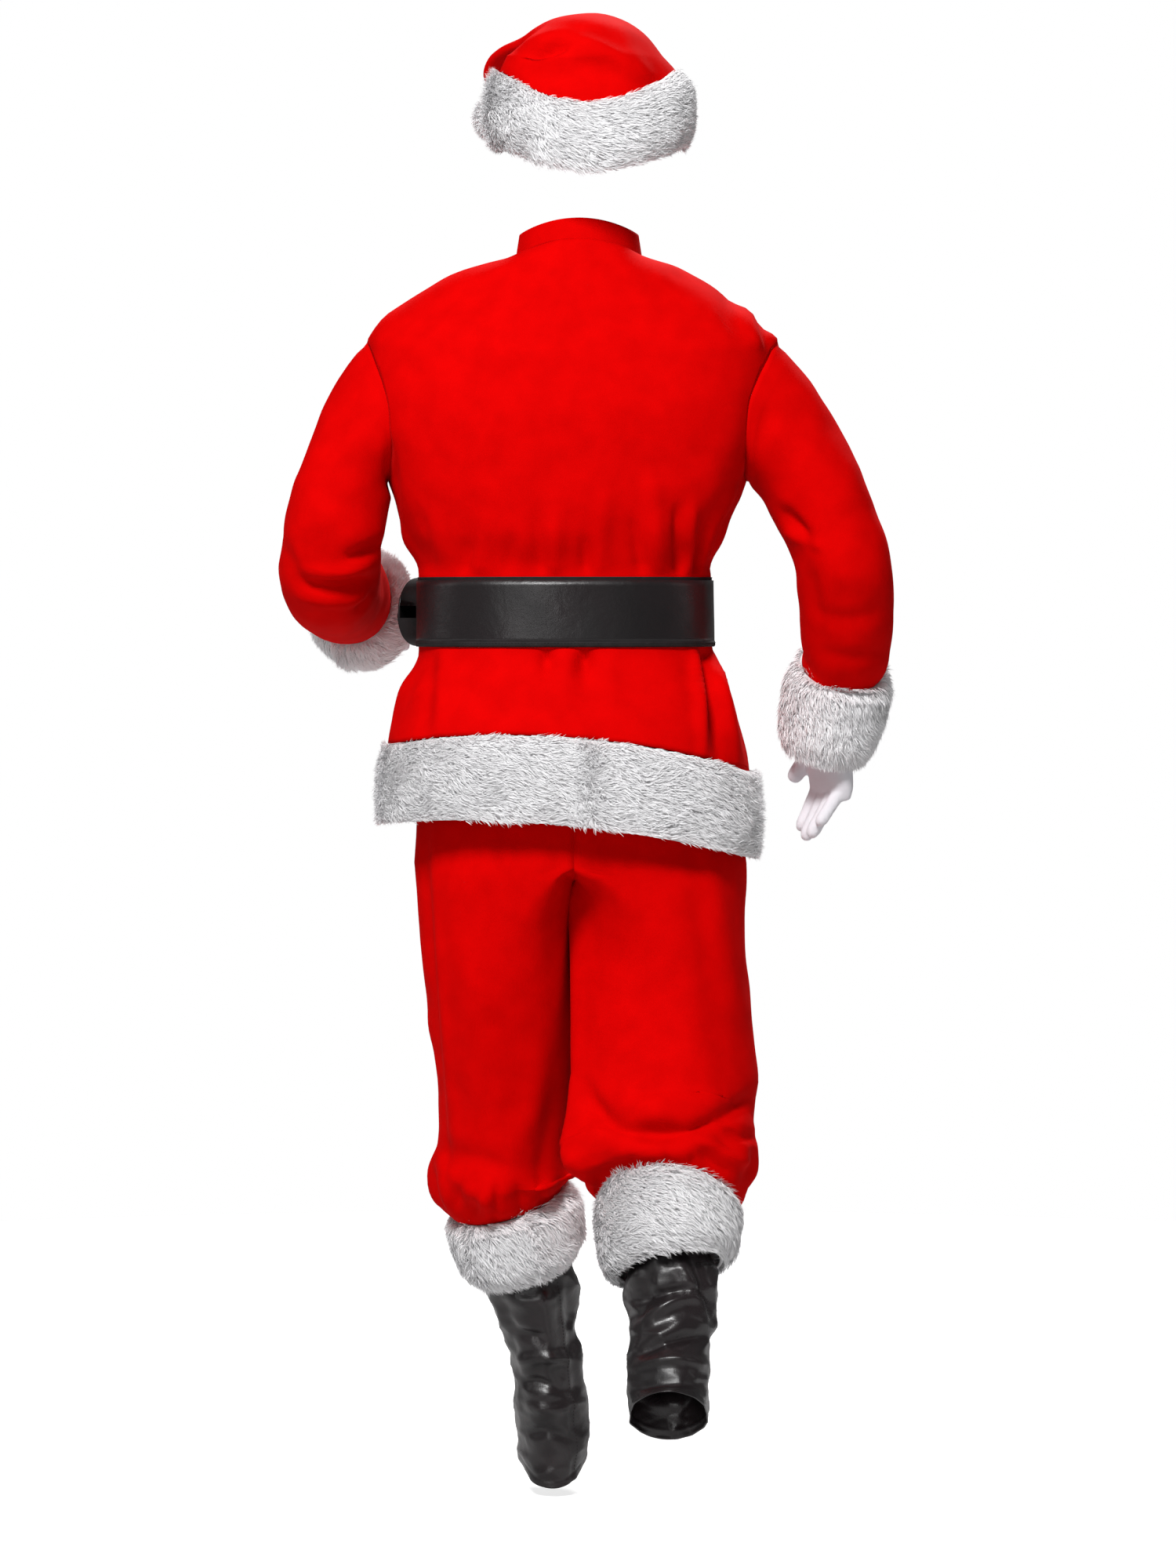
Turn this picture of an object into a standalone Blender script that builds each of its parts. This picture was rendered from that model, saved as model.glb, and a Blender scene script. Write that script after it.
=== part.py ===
"""A Santa suit as it hangs on a standing wearer: hat, jacket with its belt, trousers, boot covers and gloves.

Metres, +Z up. The garment's front faces -Y and the wearer's left is +X. The origin is the centre of the
jacket's neck opening. Each cut or sewn piece is a closed wall of its own, built on a smooth surface that
short tables of sections describe. Neighbouring pieces share the surface's points at a seam, and each is
drawn back from it by half of the seam's gap.
"""

import math

import bmesh
import bpy
import numpy as np

SEAM_GAP = 0.0003
PLUSH = 0.002
LEATHER = 0.0024
BOOT_COVER = 0.0015
KNIT = 0.0014
ELASTIC = 0.0025
FUR_OUT = 0.010
FUR_IN = 0.003
TIP_STEP = 0.02

RED = ((0.62, 0.004, 0.008, 1), 0.7, 0.0)
WHITE_FUR = ((0.80, 0.80, 0.80, 1), 0.9, 0.0)
BLACK = ((0.018, 0.014, 0.015, 1), 0.4, 0.0)
WHITE_KNIT = ((0.78, 0.78, 0.78, 1), 0.85, 0.0)
GOLD = ((0.75, 0.56, 0.25, 1), 0.3, 1.0)

# Rings of the jacket from the neck (row 0) over the shoulders and waist to the hem.
# row, left, right, side z, back y, back z, front y, front z, squareness, lean of the ring in z per x
JACKET = (
    (0.0, 0.080, -0.074, 0.012, 0.075, 0.030, -0.078, -0.040, 2.0, 0.0),
    (1.0, 0.145, -0.118, -0.003, 0.100, -0.015, -0.105, -0.085, 2.1, 0.0),
    (2.0, 0.207, -0.180, -0.040, 0.118, -0.070, -0.122, -0.130, 2.2, 0.0),
    (3.0, 0.262, -0.236, -0.092, 0.135, -0.118, -0.135, -0.160, 2.3, 0.0),
    (7.0, 0.258, -0.228, -0.178, 0.152, -0.195, -0.145, -0.205, 2.4, 0.0),
    (11.0, 0.236, -0.203, -0.262, 0.150, -0.270, -0.148, -0.268, 2.4, 0.0),
    (12.5, 0.218, -0.180, -0.321, 0.142, -0.325, -0.152, -0.325, 2.3, 0.0),
    (14.0, 0.1995, -0.159, -0.380, 0.126, -0.380, -0.150, -0.380, 2.2, 0.0),
    (16.0, 0.1995, -0.160, -0.463, 0.126, -0.463, -0.152, -0.463, 2.2, 0.0),
    (17.5, 0.2235, -0.193, -0.530, 0.150, -0.522, -0.168, -0.530, 2.3, 0.03),
    (19.0, 0.238, -0.208, -0.600, 0.170, -0.572, -0.182, -0.600, 2.3, 0.075),
    (20.5, 0.243, -0.212, -0.650, 0.177, -0.625, -0.187, -0.650, 2.3, 0.085),
    (22.0, 0.245, -0.2085, -0.702, 0.177, -0.678, -0.187, -0.700, 2.3, 0.095),
)
COLLAR = (
    (0.0, 0.076, -0.070, 0.038, 0.070, 0.055, -0.072, -0.016, 2.0, 0.0),
    (1.0, 0.080, -0.074, 0.012, 0.075, 0.030, -0.078, -0.040, 2.0, 0.0),
)
BRIM = (
    (0.0, 0.100, -0.116, 0.237, 0.110, 0.190, -0.112, 0.245, 2.0, 0.0),
    (1.0, 0.109, -0.130, 0.212, 0.125, 0.168, -0.126, 0.222, 2.0, 0.0),
    (2.0, 0.111, -0.132, 0.178, 0.130, 0.136, -0.130, 0.190, 2.0, 0.0),
    (3.0, 0.104, -0.124, 0.146, 0.127, 0.106, -0.124, 0.160, 2.0, 0.0),
)
# Bent tubes: row, centre x, y, z, half width towards the side, half width across it.
SLEEVE_LEFT = (
    (4.0, 0.288, 0.008, -0.270, 0.058, 0.070),
    (5.0, 0.299, 0.012, -0.312, 0.060, 0.069),
    (6.0, 0.305, 0.003, -0.348, 0.062, 0.066),
    (7.0, 0.308, -0.019, -0.3725, 0.063, 0.063),
    (8.0, 0.309, -0.050, -0.386, 0.062, 0.062),
    (9.0, 0.306, -0.110, -0.394, 0.060, 0.062),
    (10.0, 0.299, -0.165, -0.401, 0.058, 0.061),
    (11.0, 0.290, -0.215, -0.408, 0.050, 0.054),
)
SLEEVE_RIGHT = (
    (4.0, -0.2845, 0.010, -0.272, 0.060, 0.070),
    (5.0, -0.304, 0.016, -0.312, 0.058, 0.068),
    (6.0, -0.317, 0.018, -0.350, 0.058, 0.067),
    (7.0, -0.3235, 0.008, -0.388, 0.059, 0.066),
    (8.0, -0.3265, -0.012, -0.425, 0.058, 0.064),
    (9.0, -0.326, -0.034, -0.460, 0.056, 0.062),
    (11.0, -0.3215, -0.055, -0.488, 0.050, 0.056),
)
CUFF_LEFT = (
    (0.0, 0.290, -0.216, -0.4082, 0.051, 0.055),
    (1.0, 0.286, -0.236, -0.411, 0.058, 0.068),
    (3.0, 0.277, -0.280, -0.417, 0.059, 0.071),
    (4.0, 0.272, -0.304, -0.420, 0.051, 0.062),
)
CUFF_RIGHT = (
    (0.0, -0.3213, -0.0555, -0.489, 0.051, 0.057),
    (1.0, -0.317, -0.063, -0.514, 0.059, 0.064),
    (3.0, -0.307, -0.078, -0.566, 0.056, 0.062),
    (4.0, -0.302, -0.086, -0.594, 0.047, 0.053),
)
LEG_LEFT = (
    (5.0, 0.105, 0.000, -0.735, 0.096, 0.142),
    (8.0, 0.1030, -0.003, -0.824, 0.0935, 0.126),
    (11.0, 0.0990, -0.015, -0.920, 0.0890, 0.116),
    (14.0, 0.0935, -0.035, -1.016, 0.0840, 0.108),
    (16.0, 0.0955, -0.045, -1.078, 0.082, 0.106),
    (18.0, 0.0970, -0.050, -1.115, 0.088, 0.112),
    (19.0, 0.0930, -0.0525, -1.137, 0.080, 0.100),
    (20.0, 0.0885, -0.0552, -1.1518, 0.066, 0.078),
)
LEG_RIGHT = (
    (5.0, -0.0985, 0.000, -0.735, 0.103, 0.142),
    (8.0, -0.0980, 0.008, -0.824, 0.104, 0.126),
    (11.0, -0.1010, 0.020, -0.918, 0.1075, 0.118),
    (13.0, -0.1035, 0.038, -0.990, 0.110, 0.118),
    (15.0, -0.1055, 0.060, -1.049, 0.1045, 0.115),
    (17.0, -0.1095, 0.083, -1.084, 0.1055, 0.116),
    (19.0, -0.1095, 0.107, -1.117, 0.092, 0.102),
    (20.0, -0.1075, 0.1172, -1.1312, 0.074, 0.082),
)
TROUSER_CUFF_LEFT = (
    (0.0, 0.0880, -0.0555, -1.1525, 0.067, 0.079),
    (1.0, 0.0840, -0.0580, -1.168, 0.078, 0.088),
    (3.0, 0.0760, -0.0640, -1.208, 0.075, 0.084),
    (4.0, 0.0690, -0.0690, -1.231, 0.061, 0.069),
)
TROUSER_CUFF_RIGHT = (
    (0.0, -0.1070, 0.1180, -1.132, 0.075, 0.083),
    (1.0, -0.1050, 0.1290, -1.147, 0.082, 0.090),
    (3.0, -0.1030, 0.1560, -1.187, 0.077, 0.084),
    (4.0, -0.1060, 0.1655, -1.207, 0.064, 0.071),
)
BOOT_LEFT = (
    (0.0, 0.0700, -0.0680, -1.205, 0.045, 0.053),
    (2.0, 0.0620, -0.0740, -1.256, 0.055, 0.061),
    (4.0, 0.0475, -0.0850, -1.340, 0.045, 0.052),
    (6.0, 0.0370, -0.1000, -1.420, 0.045, 0.058),
    (8.0, 0.0345, -0.1250, -1.474, 0.042, 0.082),
)
BOOT_RIGHT = (
    (0.0, -0.1070, 0.1520, -1.184, 0.045, 0.051),
    (2.0, -0.1092, 0.1740, -1.234, 0.0555, 0.061),
    (4.0, -0.1063, 0.2050, -1.286, 0.0495, 0.055),
    (6.0, -0.1040, 0.2350, -1.332, 0.047, 0.056),
    (8.0, -0.1030, 0.2580, -1.372, 0.045, 0.075),
)
# Upper trousers: row, left, middle seam, right, back y, front y, z
HIPS = (
    (0.0, 0.182, 0.020, -0.142, 0.108, -0.132, -0.425),
    (1.0, 0.189, 0.017, -0.150, 0.118, -0.138, -0.485),
    (3.0, 0.200, 0.010, -0.180, 0.146, -0.148, -0.605),
    (5.0, 0.204, 0.0086, -0.201, 0.145, -0.145, -0.728),
)
# Hat crown: row, centre x, y, z, direction x, y, z, half width across the fold, half width along it
CROWN = (
    (1.0, -0.004, 0.006, 0.256, 0.00, 0.10, 0.99, 0.094, 0.094),
    (2.0, 0.000, -0.010, 0.272, 0.12, -0.14, 0.98, 0.078, 0.079),
    (3.0, 0.012, -0.030, 0.283, 0.34, -0.40, 0.85, 0.056, 0.048),
    (4.0, 0.028, -0.049, 0.282, 0.52, -0.62, 0.59, 0.046, 0.030),
    (5.0, 0.046, -0.068, 0.276, 0.62, -0.75, 0.20, 0.040, 0.017),
    (6.0, 0.068, -0.094, 0.272, 0.62, -0.75, -0.20, 0.034, 0.012),
    (7.0, 0.092, -0.122, 0.262, 0.52, -0.62, -0.60, 0.028, 0.012),
    (8.0, 0.105, -0.138, 0.243, 0.25, -0.30, -0.92, 0.020, 0.012),
    (9.0, 0.107, -0.146, 0.2243, 0.00, 0.00, -1.00, 0.010, 0.010),
)
FOLD_ACROSS = (0.77, 0.64, 0.0)
FOLD_ACROSS_ANGLE = math.radians(40)
POMPOM_AT = (0.107, -0.148, 0.194)
POMPOM_CORE = 0.026
POMPOM_LOCK = 0.006

# Soft folds: from x, y, z to x, y, z, half width, height out of the surface (a trough is negative)
JACKET_FOLDS = (
    (0.250, 0.090, -0.170, 0.215, 0.120, -0.300, 0.022, -0.006),
    (-0.215, 0.090, -0.160, -0.180, 0.125, -0.300, 0.020, -0.006),
    (-0.225, 0.080, -0.080, -0.150, 0.125, -0.110, 0.018, 0.004),
    (0.245, 0.085, -0.095, 0.180, 0.125, -0.130, 0.018, 0.004),
    (-0.137, 0.150, -0.503, -0.160, 0.150, -0.590, 0.016, 0.007),
    (-0.162, 0.130, -0.500, -0.195, 0.120, -0.580, 0.014, -0.006),
    (0.124, 0.150, -0.503, 0.150, 0.160, -0.590, 0.016, 0.006),
    (0.330, 0.060, -0.330, 0.250, 0.060, -0.345, 0.014, -0.007),
    (0.250, -0.020, -0.300, 0.300, -0.070, -0.330, 0.014, -0.006),
    (-0.255, 0.030, -0.300, -0.290, 0.075, -0.340, 0.014, -0.007),
    (-0.265, -0.010, -0.380, -0.320, 0.055, -0.420, 0.016, 0.005),
    (-0.270, 0.000, -0.440, -0.330, 0.050, -0.470, 0.014, -0.005),
)
TROUSER_FOLDS = (
    (0.192, 0.020, -0.760, 0.172, 0.000, -1.060, 0.014, 0.006),
    (-0.030, 0.160, -1.030, -0.200, 0.150, -1.035, 0.016, -0.013),
    (-0.150, 0.190, -1.065, -0.205, 0.110, -1.090, 0.016, -0.009),
    (0.030, 0.050, -1.020, 0.050, 0.055, -1.100, 0.016, -0.008),
    (0.150, 0.040, -1.080, 0.060, 0.060, -1.100, 0.014, -0.006),
    (-0.060, 0.120, -0.950, -0.120, 0.140, -1.010, 0.018, 0.006),
)

# Half sizes of the palm: along the hand, across it, through it
PALM = (
    (0.000, 0.029, 0.023),
    (0.022, 0.033, 0.020),
    (0.050, 0.040, 0.018),
    (0.078, 0.041, 0.016),
    (0.094, 0.036, 0.011),
)
# Digits: root across, along and palmwards, tip across, along and palmwards, radius
DIGITS = (
    (-0.027, 0.080, 0.000, -0.0285, 0.134, 0.032, 0.0098),
    (-0.009, 0.084, 0.000, -0.0100, 0.143, 0.038, 0.0100),
    (0.010, 0.082, 0.000, 0.0090, 0.137, 0.042, 0.0098),
    (0.027, 0.076, 0.000, 0.0265, 0.121, 0.040, 0.0088),
    (-0.026, 0.026, 0.002, -0.054, 0.074, 0.024, 0.0112),
)

JACKET_COLUMNS = 48
# Columns are counted as 48 round the body, and 32 steps go round an armhole; the solids take every 4/3.
SAMPLE = 4 / 3
HEM_ROW = 19
HOLE_ROW = 7
HOLE_HALF = 4
HOLE_CELLS = 6
LOOP_STEPS = 8 * HOLE_HALF
JACKET_ROWS = (0, 1, 2, *np.linspace(3, 11, HOLE_CELLS + 1), 12, 13, 14, 16, 17, 18, HEM_ROW)
HOLE_FIRST = 3
LEG_ROWS = (0, 2, 4, 5, 6, 7, 8, 9.5, 11, 12.5, 14, 15, 16, 17, 18, 19, 20)
CROTCH_INDEX = 3
SIDE_COLUMN = {1: 0, -1: 24}
SLEEVE_START = 4
SLEEVE_END = 11
LEG_LATERAL = 12
LEG_MEDIAL = 8
LEG_COLUMNS = LEG_LATERAL + LEG_MEDIAL
CROTCH_ROW = 5
LEG_END = 20
LEG_BLEND = 4
CROTCH_DROP = 0.022
BLOUSE_ROW = 18.2
BLOUSE_DEPTH = 0.005
HEM_ROWS = (19.02, 19.5, 20.5, 21.5, 22)
CUFF_ROWS = (0, 0.7, 2, 3.3, 4)
CUFF_COLUMNS = 20
BRIM_COLUMNS = 24
BOOT_COLUMNS = 18
BOOT_ROWS = (0, 1, 2, 3.2, 4.5, 5.8, 7, 8)
WAIST_COLUMNS = 28
PALM_SIDES = 12
DIGIT_SIDES = 7
CUFF_GAP = 0.0006
BELT_START = 36
BELT_END = 95
BELT_ROWS = (14.06, 14.2, 15.8, 15.94)
BOUND_EDGE = 0.0006
# How far the strap stands off the jacket: everywhere, more where it lies on itself, and at its free end
BELT_CLEAR = 0.0004
BELT_DOUBLED = 0.0040
BELT_FREE = 0.024
DOUBLED_FROM = 79
FREE_FROM = 89
BUCKLE_POINTS = 20
BUCKLE_OUT = 0.0100
BUCKLE_CORNER = 0.4
GATHER_DEPTH = 0.0035
GATHERS = 9
BOOT_WRINKLE = 0.0022


def read(table, place):
    """The columns of a table at places along its first column, on a smooth curve through its rows
    that never swings past them."""
    rows = np.asarray(table, float)
    key, values = rows[:, 0], rows[:, 1:]
    step = np.diff(key)[:, None]
    rise = np.diff(values, axis=0) / step
    near, far = rise[:-1], rise[1:]
    mean = 3 * (step[:-1] + step[1:]) * near * far
    weight = (2 * step[1:] + step[:-1]) * far + (step[1:] + 2 * step[:-1]) * near
    inner = np.where(near * far > 0, mean / np.where(weight == 0, 1, weight), 0)
    slopes = np.vstack([rise[:1], inner, rise[-1:]])
    place = np.clip(np.asarray(place, float), key[0], key[-1])
    index = np.clip(np.searchsorted(key, place, side="right") - 1, 0, len(key) - 2)
    width = (key[index + 1] - key[index])[..., None]
    t = (place - key[index])[..., None] / width
    return (
        (2 * t**3 - 3 * t**2 + 1) * values[index]
        + (t**3 - 2 * t**2 + t) * width * slopes[index]
        + (3 * t**2 - 2 * t**3) * values[index + 1]
        + (t**3 - t**2) * width * slopes[index + 1]
    )


def unit(vector):
    vector = np.asarray(vector, float)
    return vector / np.maximum(np.linalg.norm(vector, axis=-1, keepdims=True), 1e-12)


def smooth(value):
    value = np.clip(value, 0, 1)
    return value * value * (3 - 2 * value)


def worn_ring(table, row, angle):
    """A ring round the body: its sides, back and front each at their own place and height."""
    values = np.moveaxis(read(table, row), -1, 0)
    left, right, side_z, back_y, back_z, front_y, front_z, square, lean = values
    cosine, sine = np.cos(angle), np.sin(angle)
    power = 2 / square
    x = (left + right) / 2 + (left - right) / 2 * np.sign(cosine) * np.abs(cosine) ** power
    reach = np.abs(sine) ** power
    y = np.where(sine > 0, back_y, front_y) * reach
    z = side_z + (np.where(sine > 0, back_z, front_z) - side_z) * sine**2 + lean * x
    return np.stack(np.broadcast_arrays(x, y, z), -1)


def ring(centre, along, towards, angle, first_half, second_half):
    """An oval round a centre, square to `along`, that starts on the side of `towards`."""
    first = unit(towards - along * np.sum(along * towards, -1, keepdims=True))
    second = np.cross(first, along)
    across = first * (np.cos(angle) * first_half)[..., None]
    return centre + across + second * (np.sin(angle) * second_half)[..., None]


def tube(table, row, angle, towards):
    """A point of a bent tube whose centre line and half widths a table gives."""
    here = read(table, row)
    along = unit((read(table, row + TIP_STEP) - read(table, row - TIP_STEP))[..., :3])
    return ring(here[..., :3], along, np.asarray(towards, float), angle, here[..., 3], here[..., 4])


def jacket_body(row, column):
    """The jacket without sleeves. Near an armhole the grid is drawn in to a round hole."""
    row, column = np.broadcast_arrays(np.asarray(row, float), np.asarray(column, float))
    new_row, new_column = row, column
    for centre in SIDE_COLUMN.values():
        half = JACKET_COLUMNS / 2
        across = ((column - centre + half) % JACKET_COLUMNS - half) / HOLE_HALF
        down = (row - HOLE_ROW) / HOLE_HALF
        far = np.maximum(np.maximum(np.abs(across), np.abs(down)), 1e-9)
        edge_across, edge_down = across / far, down / far
        fade = np.clip((1.7 - np.maximum(far, 1)) / 0.7, 0, 1) ** 2 * np.minimum(far, 1)
        new_column = new_column + HOLE_HALF * fade * edge_across * (np.sqrt(1 - edge_down**2 / 2) - 1)
        new_row = new_row + HOLE_HALF * fade * edge_down * (np.sqrt(1 - edge_across**2 / 2) - 1)
    angle = 2 * np.pi * new_column / JACKET_COLUMNS
    points = worn_ring(JACKET, new_row, angle)
    above = np.sin(np.pi * np.clip((14 - row) / 2.6, 0, 1)) ** 2
    below = np.sin(np.pi * np.clip((row - 16) / 2.6, 0, 1)) ** 2
    gathers = GATHER_DEPTH * (above + below) * np.cos(GATHERS * angle + 0.8 * np.sin(2 * angle))
    outward = unit(np.stack([np.cos(angle), np.sin(angle), 0 * angle], -1))
    return points + outward * gathers[..., None]


def armhole(step, side):
    """Row and column at a step round the armhole, from its top towards higher columns."""
    corners = (0, 4, 12, 20, 28, 32)
    across = np.interp(step % LOOP_STEPS, corners, (0, 4, 4, -4, -4, 0))
    down = np.interp(step % LOOP_STEPS, corners, (-4, -4, 4, 4, -4, -4))
    return HOLE_ROW + down, SIDE_COLUMN[side] + across


def sleeve(row, step, side):
    """The sleeve: from the armhole its points run out and turn into the bent tube of the arm."""
    table = SLEEVE_LEFT if side > 0 else SLEEVE_RIGHT
    angle = 2 * np.pi * step / LOOP_STEPS
    lateral = (side, 0.0, 0.0)
    arm = tube(table, np.maximum(row, SLEEVE_START), angle, lateral)
    start = jacket_body(*armhole(step, side))
    end = tube(table, np.full_like(row, SLEEVE_START), angle, lateral)
    first = read(table, SLEEVE_START)[:3]
    along = unit(read(table, SLEEVE_START + TIP_STEP)[:3] - first)
    reach = np.linalg.norm(end - start, axis=-1, keepdims=True)
    leave = unit((side, 0, -0.9)) * reach
    t = np.minimum(row, SLEEVE_START)[..., None] / SLEEVE_START
    cap = (
        (2 * t**3 - 3 * t**2 + 1) * start
        + (t**3 - 2 * t**2 + t) * leave
        + (3 * t**2 - 2 * t**3) * end
        + (t**3 - t**2) * along * reach
    )
    return np.where(row[..., None] < SLEEVE_START, cap, arm)


def hips(row, column, side):
    """The upper trousers: columns 0 to 12 run from the centre front round one side to the centre back."""
    left, middle, right, back_y, front_y, z = np.moveaxis(read(HIPS, row), -1, 0)
    angle = np.pi * (column / LEG_LATERAL - 0.5)
    width = np.where(side > 0, left, right) - middle
    power = 2 / 2.3
    x = middle + width * np.abs(np.cos(angle)) ** power
    y = np.where(angle > 0, back_y, -front_y) * np.sign(angle) * np.abs(np.sin(angle)) ** power
    return np.stack(np.broadcast_arrays(x, y, z), -1)


def trouser_leg(row, column, side):
    """The leg: columns past 12 lie on the inside of the leg and start on the crotch seam."""
    table = LEG_LEFT if side > 0 else LEG_RIGHT
    on_side = np.minimum(column, LEG_LATERAL)
    inner = np.clip((column - LEG_LATERAL) / LEG_MEDIAL, 0, 1)
    lateral_angle = np.pi * (on_side / LEG_LATERAL - 0.5)
    angle = np.where(column <= LEG_LATERAL, lateral_angle, np.pi * (0.5 + inner))
    oval = tube(table, np.maximum(row, CROTCH_ROW), side * angle, (side, 0.0, 0.0))
    outer_top = hips(np.minimum(row, CROTCH_ROW), on_side, side)
    front, back = hips(CROTCH_ROW, 0, side), hips(CROTCH_ROW, LEG_LATERAL, side)
    share = (1 - np.cos(np.pi * inner))[..., None] / 2
    saddle = back * (1 - share) + front * share
    saddle[..., 2] -= CROTCH_DROP * np.sin(np.pi * inner)
    top = np.where((column <= LEG_LATERAL)[..., None], outer_top, saddle)
    blend = smooth((row - CROTCH_ROW) / LEG_BLEND)[..., None]
    blouse = np.exp(-(((row - BLOUSE_ROW) / 0.9) ** 2))
    gathers = BLOUSE_DEPTH * blouse * np.cos(GATHERS * angle + np.sin(2 * angle))
    centre = read(table, np.maximum(row, CROTCH_ROW))[..., :3]
    return top * (1 - blend) + oval * blend + unit(oval - centre) * gathers[..., None]


def hat_crown(row, angle):
    """The red bag of the hat: a dome that folds over to the left front and tapers to the pompom."""
    values = read(CROWN, np.maximum(row, 1))
    along = unit(values[..., 3:6])
    turn = angle - FOLD_ACROSS_ANGLE
    bag = ring(values[..., :3], along, np.asarray(FOLD_ACROSS), -turn, values[..., 6], values[..., 7])
    base = worn_ring(BRIM, np.zeros_like(row), angle)
    t = smooth(np.minimum(row, 1))[..., None]
    return base * (1 - t) + bag * t


def quads(numbers, flip=False):
    """The faces between neighbouring rows and columns of point numbers; a number under 0 is a hole."""
    faces = []
    for i in range(numbers.shape[0] - 1):
        for j in range(numbers.shape[1] - 1):
            face = (numbers[i, j], numbers[i + 1, j], numbers[i + 1, j + 1], numbers[i, j + 1])
            if min(face) >= 0:
                faces.append(tuple(int(n) for n in (face[::-1] if flip else face)))
    return faces


def normals_of(points, faces):
    """The surface's direction at each point; points that lie on each other at a seam share one."""
    total = np.zeros_like(points)
    for face in faces:
        corners = points[list(face)]
        area = np.cross(corners[2] - corners[0], corners[-1] - corners[1])
        total[list(face)] += area
    _, same = np.unique(np.round(points, 6), axis=0, return_inverse=True)
    same = same.reshape(-1)
    shared = np.zeros((same.max() + 1, 3))
    np.add.at(shared, same, total)
    return unit(shared[same])


def crease(points, normals, folds):
    """The points moved along their normals by soft ridges and troughs."""
    moved = np.zeros(len(points))
    for *ends, half_width, height in folds:
        start, end = np.array(ends[:3]), np.array(ends[3:])
        run = end - start
        share = np.clip((points - start) @ run / (run @ run), 0, 1)
        distance = np.linalg.norm(points - start - share[:, None] * run, axis=1)
        moved += height * np.exp(-((distance / half_width) ** 2)) * (0.35 + 0.65 * np.sin(np.pi * share))
    return points + normals * moved[:, None]


def material(name, look):
    colour, roughness, metallic = look
    made = bpy.data.materials.new(name)
    made.use_nodes = True
    shader = made.node_tree.nodes["Principled BSDF"]
    shader.inputs["Base Color"].default_value = colour
    shader.inputs["Roughness"].default_value = roughness
    shader.inputs["Metallic"].default_value = metallic
    made.diffuse_color = colour
    return made


def show(name, points, faces, look):
    """A mesh object of these points and faces, with its own material."""
    mesh = bpy.data.meshes.new(name)
    mesh.from_pydata([tuple(p) for p in points], [], faces)
    mesh.validate()
    mesh.shade_smooth()
    mesh.set_sharp_from_angle(angle=math.radians(50))
    mesh.materials.append(material(name, look))
    piece = bpy.data.objects.new(name, mesh)
    bpy.context.scene.collection.objects.link(piece)
    return piece


def wall(name, points, normals, faces, look, inside, outside=0.0, pull=SEAM_GAP / 2):
    """A closed wall on some faces of a surface, from `outside` above it to `inside` under it.
    Its open edges are drawn back by `pull`."""
    used = sorted({number for face in faces for number in face})
    place = {number: i for i, number in enumerate(used)}
    local = [tuple(place[number] for number in face) for face in faces]
    surface, normal = points[used].copy(), normals[used]
    out = np.broadcast_to(outside, len(points))[used][:, None]
    into = np.broadcast_to(inside, len(points))[used][:, None]
    edges = {(face[i - 1], face[i]) for face in local for i in range(len(face))}
    open_edges = [(a, b) for a, b in edges if (b, a) not in edges]
    on_edge = sorted({number for edge in open_edges for number in edge})
    inner_side = np.zeros_like(surface)
    for face in local:
        inner_side[list(face)] += unit(surface[list(face)].mean(0) - surface[list(face)])
    surface[on_edge] += pull * unit(inner_side[on_edge])
    count = len(used)
    solid_faces = list(local) + [tuple(n + count for n in face[::-1]) for face in local]
    for a, b in sorted(open_edges):
        # The same corner is cut off on both sides of a seam, so that the two rims stay parallel.
        if a < b:
            solid_faces += [(b, a, b + count), (a, a + count, b + count)]
        else:
            solid_faces += [(b, a, a + count), (b, a + count, b + count)]
    solid_points = np.vstack([surface + normal * out, surface - normal * into])
    return show(name, solid_points, solid_faces, look)


def wrapped(numbers):
    """The table of point numbers with its first column repeated, so that the ring closes."""
    return np.hstack([numbers, numbers[:, :1]])


def grid(function, rows, columns):
    """Points of a surface at rows and columns, and the table of their numbers."""
    down, across = np.meshgrid(np.asarray(rows, float), np.asarray(columns, float), indexing="ij")
    points = function(down, across)
    return points.reshape(-1, 3), np.arange(down.size).reshape(down.shape)


def per_row(values, numbers):
    """One value for each row, given to every point of that row."""
    return np.repeat(np.asarray(values, float), numbers.shape[1])


def fur_band(name, function, rows, columns):
    """A ring of long fur: its pile stands out from the backing and rounds off at both edges."""
    points, numbers = grid(function, rows, columns)
    faces = quads(wrapped(numbers))
    share = (np.asarray(rows) - rows[0]) / (rows[-1] - rows[0])
    pile = FUR_OUT * (0.04 + 0.96 * np.abs(np.sin(np.pi * share)) ** 0.5)
    normals = normals_of(points, faces)
    wall(name, points, normals, faces, WHITE_FUR, FUR_IN, per_row(pile, numbers))


def carried_on(before, last, cuff, side):
    """A cuff's surface, which starts a seam's gap past the end of the tube that it is sewn to."""
    lateral = (side, 0.0, 0.0)
    along = unit((read(before, last) - read(before, last - TIP_STEP))[:3])

    def surface(row, column):
        angle = 2 * np.pi * column / CUFF_COLUMNS
        start = tube(before, np.full_like(row, last), angle, lateral) + along * CUFF_GAP
        share = smooth(row)[..., None]
        return start * (1 - share) + tube(cuff, row, angle, lateral) * share

    return surface


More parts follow.
